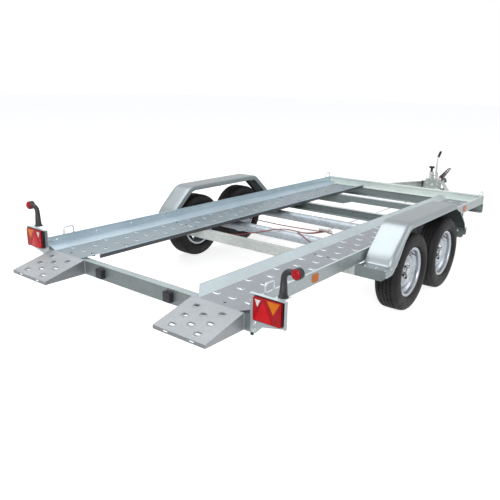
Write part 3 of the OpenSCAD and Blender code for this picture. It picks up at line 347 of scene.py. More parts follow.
@dataclass(frozen=True)
class ZincSteel(Finish):
    """Hot-dip galvanised steel, with crystals, clouds and road film, and painted light and shade that depend on which
    way each face points.
    """

    name: str
    base: Colour
    bright: Colour
    crystals: float = 70.0
    contrast: float = 0.5
    roughness: float = 0.42
    metallic: float = 0.55
    film: float = 0.22
    film_top: float = 0.75
    bump: float = 0.22
    spread: float = 1.0
    # Painted light and shade: axis and sign of the face normal, where the mask starts, lowest X, highest Z, and the
    # factor that brightens or darkens the colour.
    painted_shading: tuple[tuple[int, float, float, float, float, Colour], ...] = ()

    def make(self, kit: ShaderKit) -> bpy.types.Material:
        """Builds the material from the zinc and film groups, with painted light or shade multiplied in for each way
        that faces point.
        """
        material, sheet, surface = self._start()
        zinc = sheet.add("Group", {"node_tree": kit.group("zinc_spangle")}, Base=self.base, Bright=self.bright,
                         Crystals_per_metre=self.crystals, Contrast=self.contrast, Roughness=self.roughness)
        film = sheet.add("Group", {"node_tree": kit.group("road_film")}, Color=zinc.outputs["Color"],
                         Amount=self.film, Top=self.film_top)
        surface.inputs["Metallic"].default_value = self.metallic
        color = film.outputs["Color"]
        if self.painted_shading:
            normal = sheet.add("SeparateXYZ", Vector=sheet.add("NewGeometry").outputs["True Normal"])
            place = sheet.add("SeparateXYZ", Vector=sheet.add("TexCoord").outputs["Object"])
        # Painted light and shade: faces that point one way are made brighter or darker, as a lamp from that side would
        # make them.
        for axis, sign, start, beyond, below, painted_factor in self.painted_shading:
            looks = sheet.span(sheet.math("MULTIPLY", normal.outputs[axis], sign), start, start + 0.16)
            inside = sheet.math("MULTIPLY", sheet.math("GREATER_THAN", place.outputs[0], beyond),
                                sheet.math("LESS_THAN", place.outputs[2], below))
            color = sheet.blend(sheet.math("MULTIPLY", looks, inside), color, painted_factor, "MULTIPLY")
        sheet.feed(surface.inputs["Base Color"], color)
        sheet.feed(surface.inputs["Roughness"],
                   sheet.math("ADD", sheet.math("MULTIPLY", zinc.outputs["Roughness"], self.spread),
                              self.roughness * (1.0 - self.spread)))
        self._raise(sheet, surface, zinc.outputs["Height"], self.bump, 0.0006)
        return material


@dataclass(frozen=True)
class Rubber(Finish):
    """Black rubber or moulded plastic with grain and wear."""

    name: str
    base: Colour
    worn: Colour
    grains: float = 900.0
    roughness: float = 0.6
    film: float = 0.35
    film_top: float = 0.5
    bump: float = 0.3
    specular: float = 0.4

    def make(self, kit: ShaderKit) -> bpy.types.Material:
        """Builds the material from the grain and film groups."""
        material, sheet, surface = self._start()
        grain = sheet.add("Group", {"node_tree": kit.group("surface_grain")}, Base=self.base, Worn=self.worn,
                          Grains_per_metre=self.grains, Roughness=self.roughness)
        film = sheet.add("Group", {"node_tree": kit.group("road_film")}, Color=grain.outputs["Color"],
                         Amount=self.film, Top=self.film_top)
        surface.inputs["Specular IOR Level"].default_value = self.specular
        sheet.feed(surface.inputs["Base Color"], film.outputs["Color"])
        sheet.feed(surface.inputs["Roughness"], grain.outputs["Roughness"])
        self._raise(sheet, surface, grain.outputs["Height"], self.bump, 0.0004)
        return material


@dataclass(frozen=True)
class Paint(Finish):
    """Sprayed paint with fine orange peel and a clear top."""

    name: str
    base: Colour
    shade: Colour
    roughness: float = 0.35
    metallic: float = 0.4
    coat: float = 0.25
    film: float = 0.3
    film_top: float = 0.6

    def make(self, kit: ShaderKit) -> bpy.types.Material:
        """Builds the material from the grain and film groups."""
        material, sheet, surface = self._start()
        grain = sheet.add("Group", {"node_tree": kit.group("surface_grain")}, Base=self.base, Worn=self.shade,
                          Grains_per_metre=420.0, Roughness=self.roughness)
        film = sheet.add("Group", {"node_tree": kit.group("road_film")}, Color=grain.outputs["Color"],
                         Amount=self.film, Top=self.film_top)
        surface.inputs["Metallic"].default_value = self.metallic
        surface.inputs["Coat Weight"].default_value = self.coat
        surface.inputs["Coat Roughness"].default_value = 0.2
        sheet.feed(surface.inputs["Base Color"], film.outputs["Color"])
        sheet.feed(surface.inputs["Roughness"], grain.outputs["Roughness"])
        self._raise(sheet, surface, grain.outputs["Height"], 0.12, 0.0003)
        return material


@dataclass(frozen=True)
class Lens(Finish):
    """Clear coloured plastic with rows of small prisms inside."""

    name: str
    base: Colour
    deep: Colour
    prisms: float = 240.0
    roughness: float = 0.12

    def make(self, kit: ShaderKit) -> bpy.types.Material:
        """Builds the material with a prism pattern in colour and bump."""
        material, sheet, surface = self._start()
        place = sheet.add("TexCoord").outputs["Object"]
        parts = sheet.add("SeparateXYZ", Vector=place)
        across = sheet.math("SINE", sheet.math("MULTIPLY", parts.outputs[0], self.prisms * math.pi))
        upward = sheet.math("SINE", sheet.math("MULTIPLY", parts.outputs[2], self.prisms * math.pi))
        prism = sheet.span(sheet.math("MULTIPLY", across, upward), -0.8, 0.8)
        glow = sheet.add("TexNoise", Vector=place, Scale=22.0, Detail=2.0)
        depth = sheet.math("MULTIPLY", prism, sheet.span(glow.outputs[0], 0.3, 0.7, 0.35, 0.9))
        sheet.feed(surface.inputs["Base Color"], sheet.blend(depth, self.base, self.deep))
        sheet.feed(surface.inputs["Roughness"], sheet.span(glow.outputs[0], 0.3, 0.7, self.roughness - 0.03,
                                                           self.roughness + 0.06))
        surface.inputs["Specular IOR Level"].default_value = 0.15
        surface.inputs["Coat Weight"].default_value = 0.05
        surface.inputs["Coat Roughness"].default_value = 0.1
        self._raise(sheet, surface, prism, 0.25, 0.0008)
        return material


# Beams, members, rails, runways, ramps, axles and collars are one galvanised steel; their different bases are lit and
# shaded copies of it, set part by part to the light that falls on each, so the differences are painted light and shade.
FINISHES: dict[str, Finish] = {
    # Painted shade and light: the dark base stands for outer faces in shade with dark reflections, and the tops are
    # lifted 2.3 times as painted light.
    "beam": ZincSteel("beam_zinc", srgb(105, 114, 115), srgb(121, 130, 131), 60.0, 0.3, 0.45,
                      painted_shading=((2, 1.0, 0.7, -9.0, 9.0, (2.3, 2.3, 2.3)),)),
    # Painted shade: faces that point to the rear are darkened to 0.3.
    "member": ZincSteel("member_zinc", srgb(196, 203, 204), srgb(226, 231, 230), 60.0, 0.4, 0.42, film=0.1,
                        painted_shading=((1, -1.0, 0.5, -9.0, 9.0, (0.3, 0.33, 0.33)),)),
    "cross": ZincSteel("cross_member_zinc", srgb(164, 170, 168), srgb(200, 205, 202), 60.0, 0.45, 0.45),
    # Painted light: the front beam is lighter than the other beams because its rear face is lit.
    "front": ZincSteel("front_beam_zinc", srgb(212, 222, 218), srgb(230, 238, 234), 60.0, 0.3, 0.4, film=0.1),
    # Painted light: the tops of the near rail and the lamp brackets are made 1.7 times brighter.
    "rail": ZincSteel("rail_zinc", srgb(154, 162, 164), srgb(170, 178, 180), 75.0, 0.3, 0.4,
                      painted_shading=((2, 1.0, 0.7, -9.0, 9.0, (1.7, 1.75, 1.75)),)),
    # Painted light: the far rail is lighter and bluer for the light its inner face gets from the runway beside it.
    "rail_far": ZincSteel("far_rail_zinc", srgb(182, 200, 208), srgb(198, 214, 222), 75.0, 0.3, 0.4, film=0.1),
    # Painted light and shade: faces leaning towards +X are made lighter and bluer, as if lit from the right, and
    # downward faces are darkened to 0.35.
    "floor": ZincSteel("runway_zinc", srgb(143, 147, 153), srgb(158, 163, 169), 75.0, 0.3, 0.5, 0.45,
                       painted_shading=((0, 1.0, 0.12, -9.0, 9.0, (1.6, 1.72, 1.66)), (2, -1.0, 0.5, -9.0, 9.0, (0.35, 0.35, 0.35)))),
    # Painted light and shade: as the near runway, with downward faces at 0.22, and faces towards +X right of x = -0.7 m
    # and below z = 0.487 m darkened to 0.14 as the shade under the inner lip.
    "floor_far": ZincSteel("far_runway_zinc", srgb(138, 149, 156), srgb(150, 161, 168), 75.0, 0.3, 0.5, 0.45,
                           painted_shading=((0, 1.0, 0.12, -9.0, 9.0, (1.68, 1.74, 1.76)), (2, -1.0, 0.5, -9.0, 9.0, (0.22, 0.22, 0.22)),
                                  (0, 1.0, 0.7, -0.7, 0.487, (0.14, 0.13, 0.13)))),
    # Painted shade: faces that point to the rear are darkened to 0.6.
    "ramp": ZincSteel("ramp_zinc", srgb(147, 151, 155), srgb(163, 167, 171), 90.0, 0.3, 0.45,
                      painted_shading=((1, -1.0, 0.5, -9.0, 9.0, (0.6, 0.62, 0.63)),)),
    # Painted shade: faces towards +X are darkened to 0.58, and rear faces to 0.6.
    "ramp_far": ZincSteel("far_ramp_zinc", srgb(151, 155, 159), srgb(168, 172, 176), 90.0, 0.3, 0.45,
                          painted_shading=((0, 1.0, 0.5, -9.0, 9.0, (0.58, 0.59, 0.59)), (1, -1.0, 0.5, -9.0, 9.0, (0.6, 0.62, 0.63)))),
    "mudguard": ZincSteel("mudguard_zinc", srgb(140, 148, 151), srgb(151, 159, 162), 60.0, 0.05, 0.38, 0.82, 0.0,
                          bump=0.04, spread=0.2),
    # Painted shade: the mudguards' inner side is made dark to stand for the shade under them.
    "guard_inside_shade": Rubber("mudguard_undercoat", srgb(62, 67, 67), srgb(78, 84, 84), 300.0, 0.75, 0.1, 0.3, 0.5, 0.2),
    # Painted shade and light: rear faces of the overrun housing are darkened to 0.66 and its tops lifted 1.25 times.
    "housing": ZincSteel("housing_zinc", srgb(176, 182, 180), srgb(206, 212, 210), 140.0, 0.3, 0.35, 0.6, 0.05,
                         painted_shading=((1, -1.0, 0.5, -9.0, 9.0, (0.66, 0.7, 0.67)), (2, 1.0, 0.7, -9.0, 9.0, (1.25, 1.25, 1.25)))),
    "axle": ZincSteel("axle_zinc", srgb(146, 155, 163), srgb(186, 194, 201), 50.0, 0.5, 0.46, 0.45),
    "fitting": ZincSteel("fitting_zinc", srgb(186, 191, 191), srgb(220, 224, 224), 140.0, 0.3, 0.35, 0.6, 0.05),
    "tyre": Rubber("tyre_rubber", srgb(18, 18, 20), srgb(30, 30, 32), 700.0, 0.62, 0.22, 0.3, 0.35, 0.25),
    "rubber": Rubber("buffer_rubber", srgb(30, 31, 34), srgb(44, 45, 49), 600.0, 0.5, 0.1),
    "plastic": Rubber("black_plastic", srgb(26, 27, 30), srgb(44, 46, 50), 1100.0, 0.38, 0.08),
    "rim": Paint("rim_silver", srgb(168, 174, 181), srgb(188, 194, 200), 0.3, 0.75),
    # Dark grey hub, partly its own colour and partly painted shade for the dark holes seen through the rim's vents.
    "hub": Paint("hub_dark", srgb(46, 47, 50), srgb(66, 66, 68), 0.5, 0.6, 0.0, 0.2),
    "iron": Paint("black_iron", srgb(34, 35, 38), srgb(58, 59, 62), 0.42, 0.2, 0.1, 0.15),
    "bolt": ZincSteel("bolt_zinc", srgb(170, 174, 174), srgb(205, 209, 209), 260.0, 0.3, 0.3, 0.75, 0.05),
    "weld": ZincSteel("weld_zinc", srgb(138, 144, 146), srgb(168, 174, 176), 160.0, 0.4, 0.36, 0.6, 0.1),
    # Painted light: lighter than the runway floor so that the collars' tube walls read as lit.
    "collar": ZincSteel("collar_zinc", srgb(186, 194, 196), srgb(214, 220, 222), 120.0, 0.3, 0.36, 0.5, 0.1),
    "dark_bolt": Paint("dark_bolt", srgb(58, 60, 64), srgb(92, 94, 98), 0.42, 0.6, 0.0, 0.1),
    "red_plastic": Paint("red_plastic", srgb(168, 24, 30), srgb(190, 44, 48), 0.35, 0.0, 0.3, 0.1),
    "reflex": Lens("reflex_red", srgb(208, 14, 30), srgb(168, 6, 20), 520.0, 0.16),
    "cable": Paint("cable_sheath", srgb(108, 8, 16), srgb(134, 22, 30), 0.4, 0.0, 0.15, 0.15),
    "red": Lens("red_lens", srgb(176, 10, 24), srgb(104, 2, 12)),
    "amber": Lens("amber_lens", srgb(222, 122, 12), srgb(168, 70, 4)),
    "clear": Lens("clear_lens", srgb(226, 226, 226), srgb(150, 148, 150)),
}

NODE_FINISHES: dict[str, str] = {
    "rear_beam": "beam", "front_beam": "front", "lower_front_beam": "member",
    "rear_crossmember": "cross", "middle_crossmember": "member", "front_crossmember": "member",
    "left_side_rail": "rail_far", "right_side_rail": "rail", "left_runway": "floor_far", "right_runway": "floor",
    "left_tail_ramp": "ramp_far", "right_tail_ramp": "ramp", "left_drawbar_arm": "cross",
    "right_drawbar_arm": "cross", "rear_axle": "axle", "front_axle": "axle",
    "left_mudguard": "mudguard", "right_mudguard": "mudguard", "mudguard_stays": "beam",
    "left_lamp_bracket": "rail", "right_lamp_bracket": "rail", "lamp_housings": "plastic",
    "red_lenses": "red", "amber_lenses": "amber", "clear_lenses": "clear", "marker_arms": "rubber",
    "rubber_buffers": "rubber", "lashing_loops": "fitting", "side_reflectors": "amber",
    "brake_rod": "fitting", "brake_cables": "cable", "overrun_housing": "housing",
    "drawbar_bellows": "rubber", "coupling_head": "iron", "coupling_handle": "iron",
    "handbrake_lever": "fitting", "handbrake_grip": "plastic", "jockey_clamp": "fitting",
    "jockey_outer_tube": "fitting", "jockey_inner_tube": "fitting", "jockey_wheel": "rubber",
    "jockey_crank": "plastic",
}


class Wardrobe:
    """Keeps one material for each finish, and puts them on pieces."""

    def __init__(self) -> None:
        """Starts with the shared groups and no material."""
        self.kit = ShaderKit()
        self.made: dict[str, bpy.types.Material] = {}

    def material(self, finish: str) -> bpy.types.Material:
        """The material of a finish, made at its first use."""
        if finish not in self.made:
            self.made[finish] = FINISHES[finish].make(self.kit)
        return self.made[finish]

    def dress(self, piece: bpy.types.Object, finish: str) -> None:
        """Gives a piece one finish all over.

        Args:
            piece: The piece.
            finish: The finish's key.
        """
        piece.data.materials.clear()
        piece.data.materials.append(self.material(finish))

    def dress_frame(self, nodes: dict[str, bpy.types.Object]) -> None:
        """Dresses every node of the frame.

        Args:
            nodes: The frame's nodes by name.
        """
        endings = {"_tyre": "tyre", "_rim": "rim", "_hub": "hub"}
        for name, piece in nodes.items():
            ending = next((value for key, value in endings.items() if name.endswith(key)), None)
            self.dress(piece, ending or NODE_FINISHES[name])
            LOG.info("dressed %s", name)


@dataclass
class PhotoCamera:
    """Camera at the photograph's place and angle."""

    place: tuple[float, float, float] = (2.82417, -5.17598, 1.71763)
    yaw: float = 0.6647521
    pitch: float = 0.2866199
    roll: float = 0.0197822
    focal_pixels: float = 562.195
    frame_pixels: float = 500.0

    def build(self) -> bpy.types.Object:
        """Makes the camera and sets it as the scene's.

        Returns:
            The camera.
        """
        data = bpy.data.cameras.new("photo_camera")
        data.sensor_width = 36.0
        data.lens = self.focal_pixels * data.sensor_width / self.frame_pixels
        data.clip_start = 0.05
        data.clip_end = 100.0
        ahead = Vector((-math.sin(self.yaw) * math.cos(self.pitch),
                        math.cos(self.yaw) * math.cos(self.pitch), -math.sin(self.pitch)))
        right = Vector((math.cos(self.yaw), math.sin(self.yaw), 0.0))
        above = right.cross(ahead)
        right, above = (right * math.cos(self.roll) + above * math.sin(self.roll),
                        above * math.cos(self.roll) - right * math.sin(self.roll))
        camera = bpy.data.objects.new("photo_camera", data)
        camera.matrix_world = Matrix.Translation(self.place) @ Matrix((right, above, -ahead)).transposed().to_4x4()
        bpy.context.scene.collection.objects.link(camera)
        bpy.context.scene.camera = camera
        return camera


@dataclass
class Studio:
    """Pale floor, white background and soft lamps."""

    floor_half: float = 60.0
    sky: Colour = (0.86, 0.9, 0.96)
    sky_strength: float = 0.28
    floor_colour: Colour = (0.55, 0.55, 0.55)

    def build(self) -> None:
        """Makes the floor, the world and the lamps."""
        self._world()
        self._floor()
        self._lamp("key_light", (9.0, -21.0, 10.0), (0.0, -0.5, 0.4), 9.0, 3700.0)
        self._lamp("top_light", (-2.4, -2.8, 8.0), (0.4, -1.0, 0.4), 6.5, 420.0)
        self._lamp("side_light", (8.0, 3.0, 4.0), (0.0, 0.5, 0.4), 5.0, 140.0)

    def _world(self) -> None:
        """White for the camera and reflections, and a soft sky for light."""
        world = bpy.data.worlds.new("studio_world")
        world.use_nodes = True
        bpy.context.scene.world = world
        tree = world.node_tree
        tree.nodes.clear()
        sheet = NodeSheet(tree)
        path = sheet.add("LightPath")
        seen = sheet.math("MAXIMUM", path.outputs["Is Camera Ray"],
                          sheet.math("MAXIMUM", path.outputs["Is Glossy Ray"], path.outputs["Is Transmission Ray"]))
        white = sheet.add("Background", Color=(1.0, 1.0, 1.0), Strength=1.0)
        soft = sheet.add("Background", Color=self.sky, Strength=self.sky_strength)
        either = sheet.add("MixShader", Fac=seen)
        sheet.feed(either.inputs[1], soft.outputs[0])
        sheet.feed(either.inputs[2], white.outputs[0])
        sheet.add("OutputWorld", Surface=either.outputs[0])

    def _floor(self) -> None:
        """Pale floor that keeps the soft shadow."""
        mesh = bpy.data.meshes.new("studio_floor")
        form = bmesh.new()
        bmesh.ops.create_grid(form, x_segments=1, y_segments=1, size=self.floor_half)
        form.to_mesh(mesh)
        form.free()
        floor = bpy.data.objects.new("studio_floor", mesh)
        bpy.context.scene.collection.objects.link(floor)
        material = bpy.data.materials.new("studio_floor")
        material.use_nodes = True
        sheet = NodeSheet(material.node_tree)
        surface = material.node_tree.nodes["Principled BSDF"]
        surface.inputs["Base Color"].default_value = (*self.floor_colour, 1.0)
        surface.inputs["Roughness"].default_value = 0.9
        surface.inputs["Specular IOR Level"].default_value = 0.1
        path = sheet.add("LightPath")
        seen = sheet.math("MAXIMUM", path.outputs["Is Camera Ray"], path.outputs["Is Glossy Ray"])
        white = sheet.add("Emission", Color=(1.0, 1.0, 1.0), Strength=0.8)
        both = sheet.add("AddShader")
        sheet.feed(both.inputs[0], surface.outputs[0])
        sheet.feed(both.inputs[1], white.outputs[0])
        either = sheet.add("MixShader", Fac=seen)
        sheet.feed(either.inputs[1], surface.outputs[0])
        sheet.feed(either.inputs[2], both.outputs[0])
        sheet.feed(material.node_tree.nodes["Material Output"].inputs["Surface"], either.outputs[0])
        mesh.materials.append(material)

    @staticmethod
    def _lamp(name: str, place: tuple[float, float, float], target: tuple[float, float, float], size: float,
              watts: float) -> None:
        """Adds a soft square lamp.

        Args:
            name: The lamp's name.
            place: Where it hangs.
            target: What it shines at.
            size: Its side.
            watts: Its power.
        """
        data = bpy.data.lights.new(name, "AREA")
        data.shape = "SQUARE"
        data.size = size
        data.energy = watts
        lamp = bpy.data.objects.new(name, data)
        lamp.location = place
        lamp.rotation_euler = (Vector(target) - Vector(place)).to_track_quat("-Z", "Y").to_euler()
        bpy.context.scene.collection.objects.link(lamp)


class Form:
    """A mesh in the making, in millimetres, shaped with bmesh operators."""

    def __init__(self) -> None:
        """Starts with an empty mesh."""
        self.mesh = bmesh.new()

    def chain(self, points: Iterable[Sequence[float]], closed: bool = False) -> tuple[list, list]:
        """Lays a few vertices and the edges between them.

        Args:
            points: The vertices' places.
            closed: Whether an edge joins the last to the first.

        Returns:
            The vertices and the edges.
        """
        verts = [self.mesh.verts.new(point) for point in points]
        edges = [self.mesh.edges.new(pair) for pair in zip(verts, verts[1:])]
        if closed:
            edges.append(self.mesh.edges.new((verts[-1], verts[0])))
        return verts, edges

    def turn(self, profile: Iterable[Sequence[float]], centre: Sequence[float], axis: Sequence[float],
             steps: int) -> None:
        """Spins a profile through a full turn.

        Args:
            profile: The profile's points.
            centre: A point of the axis.
            axis: The axis.
            steps: How many steps make the turn.
        """
        verts, edges = self.chain(profile)
        bmesh.ops.spin(self.mesh, geom=verts + edges, cent=centre, axis=axis, angle=math.tau, steps=steps,
                       use_merge=True)

    def extend(self, edges: list) -> tuple[list, list]:
        """Extrudes open edges in place.

        Args:
            edges: The edges.

        Returns:
            The new vertices and the new edges that run between them.
        """
        grown = bmesh.ops.extrude_edge_only(self.mesh, edges=edges)["geom"]
        verts = [part for part in grown if isinstance(part, bmesh.types.BMVert)]
        fresh = set(verts)
        return verts, [part for part in grown if isinstance(part, bmesh.types.BMEdge)
                       and part.verts[0] in fresh and part.verts[1] in fresh]

    def slab(self, outline: Iterable[Sequence[float]], depth: Sequence[float], border: float = 0.0,
             bevel: float = 0.0) -> None:
        """Fills an outline and extrudes it, and may cut a window in it first.

        Args:
            outline: The outline's points, all in one plane.
            depth: How far and where it is extruded.
            border: Width of the frame that is left around the window, or 0 for none.
            bevel: Size of the bevel on all its edges, or 0 for none.
        """
        verts, _ = self.chain(outline, True)
        face = self.mesh.faces.new(verts)
        if border > 0.0:
            bmesh.ops.inset_region(self.mesh, faces=[face], thickness=border, use_even_offset=True)
            bmesh.ops.delete(self.mesh, geom=[face], context="FACES_ONLY")
        faces = [part for part in self.mesh.faces if part.is_valid]
        grown = bmesh.ops.extrude_face_region(self.mesh, geom=faces)["geom"]
        bmesh.ops.translate(self.mesh, vec=depth,
                            verts=[part for part in grown if isinstance(part, bmesh.types.BMVert)])
        bmesh.ops.recalc_face_normals(self.mesh, faces=self.mesh.faces)
        if bevel > 0.0:
            edges = [edge for edge in self.mesh.edges if edge.calc_face_angle(0.0) > 0.3]
            bmesh.ops.bevel(self.mesh, geom=edges, offset=bevel, affect="EDGES", segments=2, profile=0.5,
                            material=-1, clamp_overlap=True)

    def stamp(self, shape: "Form", places: Iterable[Matrix]) -> None:
        """Adds copies of another shape.

        Args:
            shape: The shape, which stays as it is.
            places: Where each copy goes.
        """
        pattern = bpy.data.meshes.new("stamp")
        shape.mesh.to_mesh(pattern)
        for place in places:
            start = len(self.mesh.verts)
            self.mesh.from_mesh(pattern)
            bmesh.ops.transform(self.mesh, matrix=place, verts=self.mesh.verts[start:])
        bpy.data.meshes.remove(pattern)

    def piece(self, name: str, sharp: float) -> bpy.types.Object:
        """Turns the mesh into an object in metres, and ends the work on it.

        Args:
            name: The piece's name.
            sharp: Angle in degrees past which an edge is sharp.

        Returns:
            The piece.
        """
        bmesh.ops.remove_doubles(self.mesh, verts=self.mesh.verts, dist=0.004)
        bmesh.ops.scale(self.mesh, verts=self.mesh.verts, vec=(0.001, 0.001, 0.001))
        bmesh.ops.recalc_face_normals(self.mesh, faces=self.mesh.faces)
        data = bpy.data.meshes.new(name)
        self.mesh.to_mesh(data)
        self.mesh.free()
        data.shade_smooth()
        data.set_sharp_from_angle(angle=math.radians(sharp))
        piece = bpy.data.objects.new(name, data)
        bpy.context.scene.collection.objects.link(piece)
        return piece


def facing(place: Sequence[float], direction: Sequence[float]) -> Matrix:
    """Matrix that puts a shape at a place with its Z along a direction."""
    return Matrix.Translation(place) @ Vector(direction).to_track_quat("Z", "Y").to_matrix().to_4x4()


def both_sides(places: Iterable[Matrix]) -> list[Matrix]:
    """Each matrix, and its image on the other side of the trailer."""
    mirror = Matrix.Diagonal((-1.0, 1.0, 1.0, 1.0))
    return [turned for place in places for turned in (place, mirror @ place)]


class Workshop:
    """Finishes pieces: dresses them and ties them to a body of the trailer."""

    def __init__(self, wardrobe: Wardrobe) -> None:
        """Starts with the finishes to choose from.

        Args:
            wardrobe: The finishes.
        """
        self.wardrobe = wardrobe

    def mount(self, form: Form, name: str, body: str, finish: str, replaces: Sequence[str] = (),
              sharp: float = 35.0) -> bpy.types.Object:
        """Makes a form a piece of the trailer.

        Args:
            form: The form, which is used up.
            name: The piece's name.
            body: The body that it moves with.
            finish: The finish's key.
            replaces: Nodes of the frame that it stands for.
            sharp: Angle in degrees past which an edge is sharp.

        Returns:
            The piece.
        """
        piece = form.piece(name, sharp)
        self.wardrobe.dress(piece, finish)
        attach(piece, body)
        if replaces:
            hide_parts(*replaces)
        LOG.info("made %s with %d faces", name, len(piece.data.polygons))
        return piece


@dataclass
class Tyre:
    """Road tyre with four grooves, cut ribs and shoulder blocks."""

    radius: float = 315.0
    half_width: float = 97.5
    wheel_x: float = 1145.5
    pitches: int = 72
    cut_degrees: float = 1.1
    cut_depth: float = 4.5
    groove_pitch: float = 31.0
    groove_depth: float = 7.0
    side: tuple[tuple[float, float], ...] = (
        (64.0, 182.0), (65.0, 198.0), (70.0, 202.0), (78.0, 206.0), (86.0, 211.0), (90.0, 215.0),
        (91.0, 219.0), (95.0, 229.0), (97.3, 240.0), (97.5, 251.0), (96.4, 259.0), (97.0, 261.0),
        (97.0, 263.0), (95.8, 265.5), (94.4, 273.0), (92.4, 281.0), (90.2, 287.0), (90.8, 289.0),
        (90.2, 291.0), (87.6, 296.5), (83.0, 303.0), (77.0, 308.5), (70.0, 311.8), (61.0, 313.6))

    def profile(self) -> list[tuple[float, float, float]]:
        """Half a section from bead to bead, at the top of the tyre."""
        tread = []
        for number in (-1.5, -0.5, 0.5, 1.5):
            middle = number * self.groove_pitch
            crown = self.radius - 0.0003 * middle * middle
            tread += [(middle - 4.5, crown), (middle - 3.2, crown - self.groove_depth),
                      (middle + 3.2, crown - self.groove_depth), (middle + 4.5, crown)]
        left = [(-across, radius) for across, radius in self.side]
        return [(across, 0.0, radius) for across, radius in left + tread + list(reversed(self.side))]

    def form(self) -> Form:
        """One tyre around the origin, with its axis along X."""
        form = Form()
        pitch = math.tau / self.pitches
        cut = math.radians(self.cut_degrees)
        verts, edges = form.chain(self.profile())
        block = bmesh.ops.spin(form.mesh, geom=verts + edges, cent=(0, 0, 0), axis=(1, 0, 0),
                               angle=pitch - cut, steps=2)["geom_last"]
        before = set(form.mesh.faces)
        bmesh.ops.spin(form.mesh, geom=block, cent=(0, 0, 0), axis=(1, 0, 0), angle=cut, steps=1)
        rows = [face for face in form.mesh.faces if face not in before
                and min(vert.co.yz.length for vert in face.verts) > 290.0
                and (all(abs(vert.co.x) >= 76.0 for vert in face.verts)
                     or min(vert.co.yz.length for vert in face.verts) > 312.5)]
        grown = bmesh.ops.extrude_face_region(form.mesh, geom=rows)["geom"]
        for vert in (part for part in grown if isinstance(part, bmesh.types.BMVert)):
            length = vert.co.yz.length
            vert.co.y *= 1.0 - self.cut_depth / length
            vert.co.z *= 1.0 - self.cut_depth / length
        bmesh.ops.delete(form.mesh, geom=[face for face in rows if face.is_valid], context="FACES_ONLY")
        bmesh.ops.spin(form.mesh, geom=form.mesh.verts[:] + form.mesh.edges[:] + form.mesh.faces[:],
                       cent=(0, 0, 0), axis=(1, 0, 0), angle=math.tau - pitch, steps=self.pitches - 1,
                       use_duplicate=True)
        bmesh.ops.remove_doubles(form.mesh, verts=form.mesh.verts, dist=0.02)
        for vert in form.mesh.verts:
            if vert.co.yz.length > 300.0:
                sway = abs((vert.co.x / self.groove_pitch) % 1.0 - 0.5) - 0.25
                lean = Matrix.Rotation(math.radians(3.2) * sway, 3, "X")
                vert.co = lean @ vert.co
        return form

    def build(self, shop: Workshop, places: dict[str, float]) -> None:
        """Makes the four tyres.

        Args:
            shop: Where the pieces are finished.
            places: Place along the trailer of each axle's wheels.
        """
        form = self.form()
        for axle, place in places.items():
            for side in Side:
                tyre = Form()
                tyre.stamp(form, [Matrix.Translation((side.value * self.wheel_x, place, self.radius))])
                name = f"{axle}_{side.name.lower()}"
                shop.mount(tyre, f"{name}_tread", f"{name}_wheel", "tyre", [f"{name}_tyre"], 28.0)
        form.mesh.free()


@dataclass
class WheelTrim:
    """Wheel bolts, dust cap and valve on each rim."""

    wheel_x: float = 1145.5
    wheel_z: float = 315.0
    disc_x: float = 32.0
    bolt_circle: float = 56.0
    hub_radius: float = 32.0

    def bolt(self) -> Form:
        """One wheel bolt with a round seat and a chamfered head, along Z."""
        form = Form()
        form.turn([(0.0, 0.0, 16.2), (8.4, 0.0, 15.2), (9.6, 0.0, 13.6)], (0, 0, 0), (0, 0, 1), 6)
        form.turn([(9.6, 0.0, 13.6), (9.9, 0.0, 3.4), (12.6, 0.0, 2.6), (13.4, 0.0, 0.6)], (0, 0, 0), (0, 0, 1), 6)
        return form

    def form(self) -> Form:
        """The trim of one wheel around the origin, with its outer side along Z."""
        form = Form()
        bolt = self.bolt()
        spots = [Matrix.Rotation(math.tau * number / 5, 4, "Z") @ Matrix.Translation((self.bolt_circle, 0, self.disc_x))
                 for number in range(5)]
        form.stamp(bolt, spots)
        bolt.mesh.free()
        top = self.disc_x + 23.0
        form.turn([(self.hub_radius + 1.2, 0.0, self.disc_x), (self.hub_radius + 1.2, 0.0, top - 4.0),
                   (self.hub_radius + 2.8, 0.0, top - 3.0), (self.hub_radius + 2.8, 0.0, top),
                   (self.hub_radius - 1.0, 0.0, top + 1.6), (25.0, 0.0, top + 4.0), (14.0, 0.0, top + 5.6),
                   (0.0, 0.0, top + 6.2)], (0, 0, 0), (0, 0, 1), 40)
        return form

    def valve(self) -> Form:
        """Valve stem with its cap, leaning out of the rim."""
        form = Form()
        form.turn([(0.0, 0.0, 34.0), (4.0, 0.0, 33.2), (4.6, 0.0, 24.0), (3.2, 0.0, 23.0), (3.4, 0.0, 12.0),
                   (6.0, 0.0, 6.0), (7.6, 0.0, 0.0)], (0, 0, 0), (0, 0, 1), 14)
        return form

    def build(self, shop: Workshop, places: dict[str, float]) -> None:
        """Makes the trim of the four wheels.

        Args:
            shop: Where the pieces are finished.
            places: Place along the trailer of each axle's wheels.
        """
        trim, valve = self.form(), self.valve()
        for axle, place in places.items():
            for side in Side:
                name = f"{axle}_{side.name.lower()}"
                outwards = facing((side.value * self.wheel_x, place, self.wheel_z), (side.value, 0, 0))
                bolts = Form()
                bolts.stamp(trim, [outwards])
                shop.mount(bolts, f"{name}_wheel_bolts", f"{name}_wheel", "bolt")
                stem = Form()
                stem.stamp(valve, [outwards @ Matrix.Rotation(0.9, 4, "Z") @ Matrix.Translation((158.0, 0.0, 33.0))
                                   @ Matrix.Rotation(-0.35, 4, "Y")])
                shop.mount(stem, f"{name}_valve", f"{name}_wheel", "plastic")
        trim.mesh.free()
        valve.mesh.free()


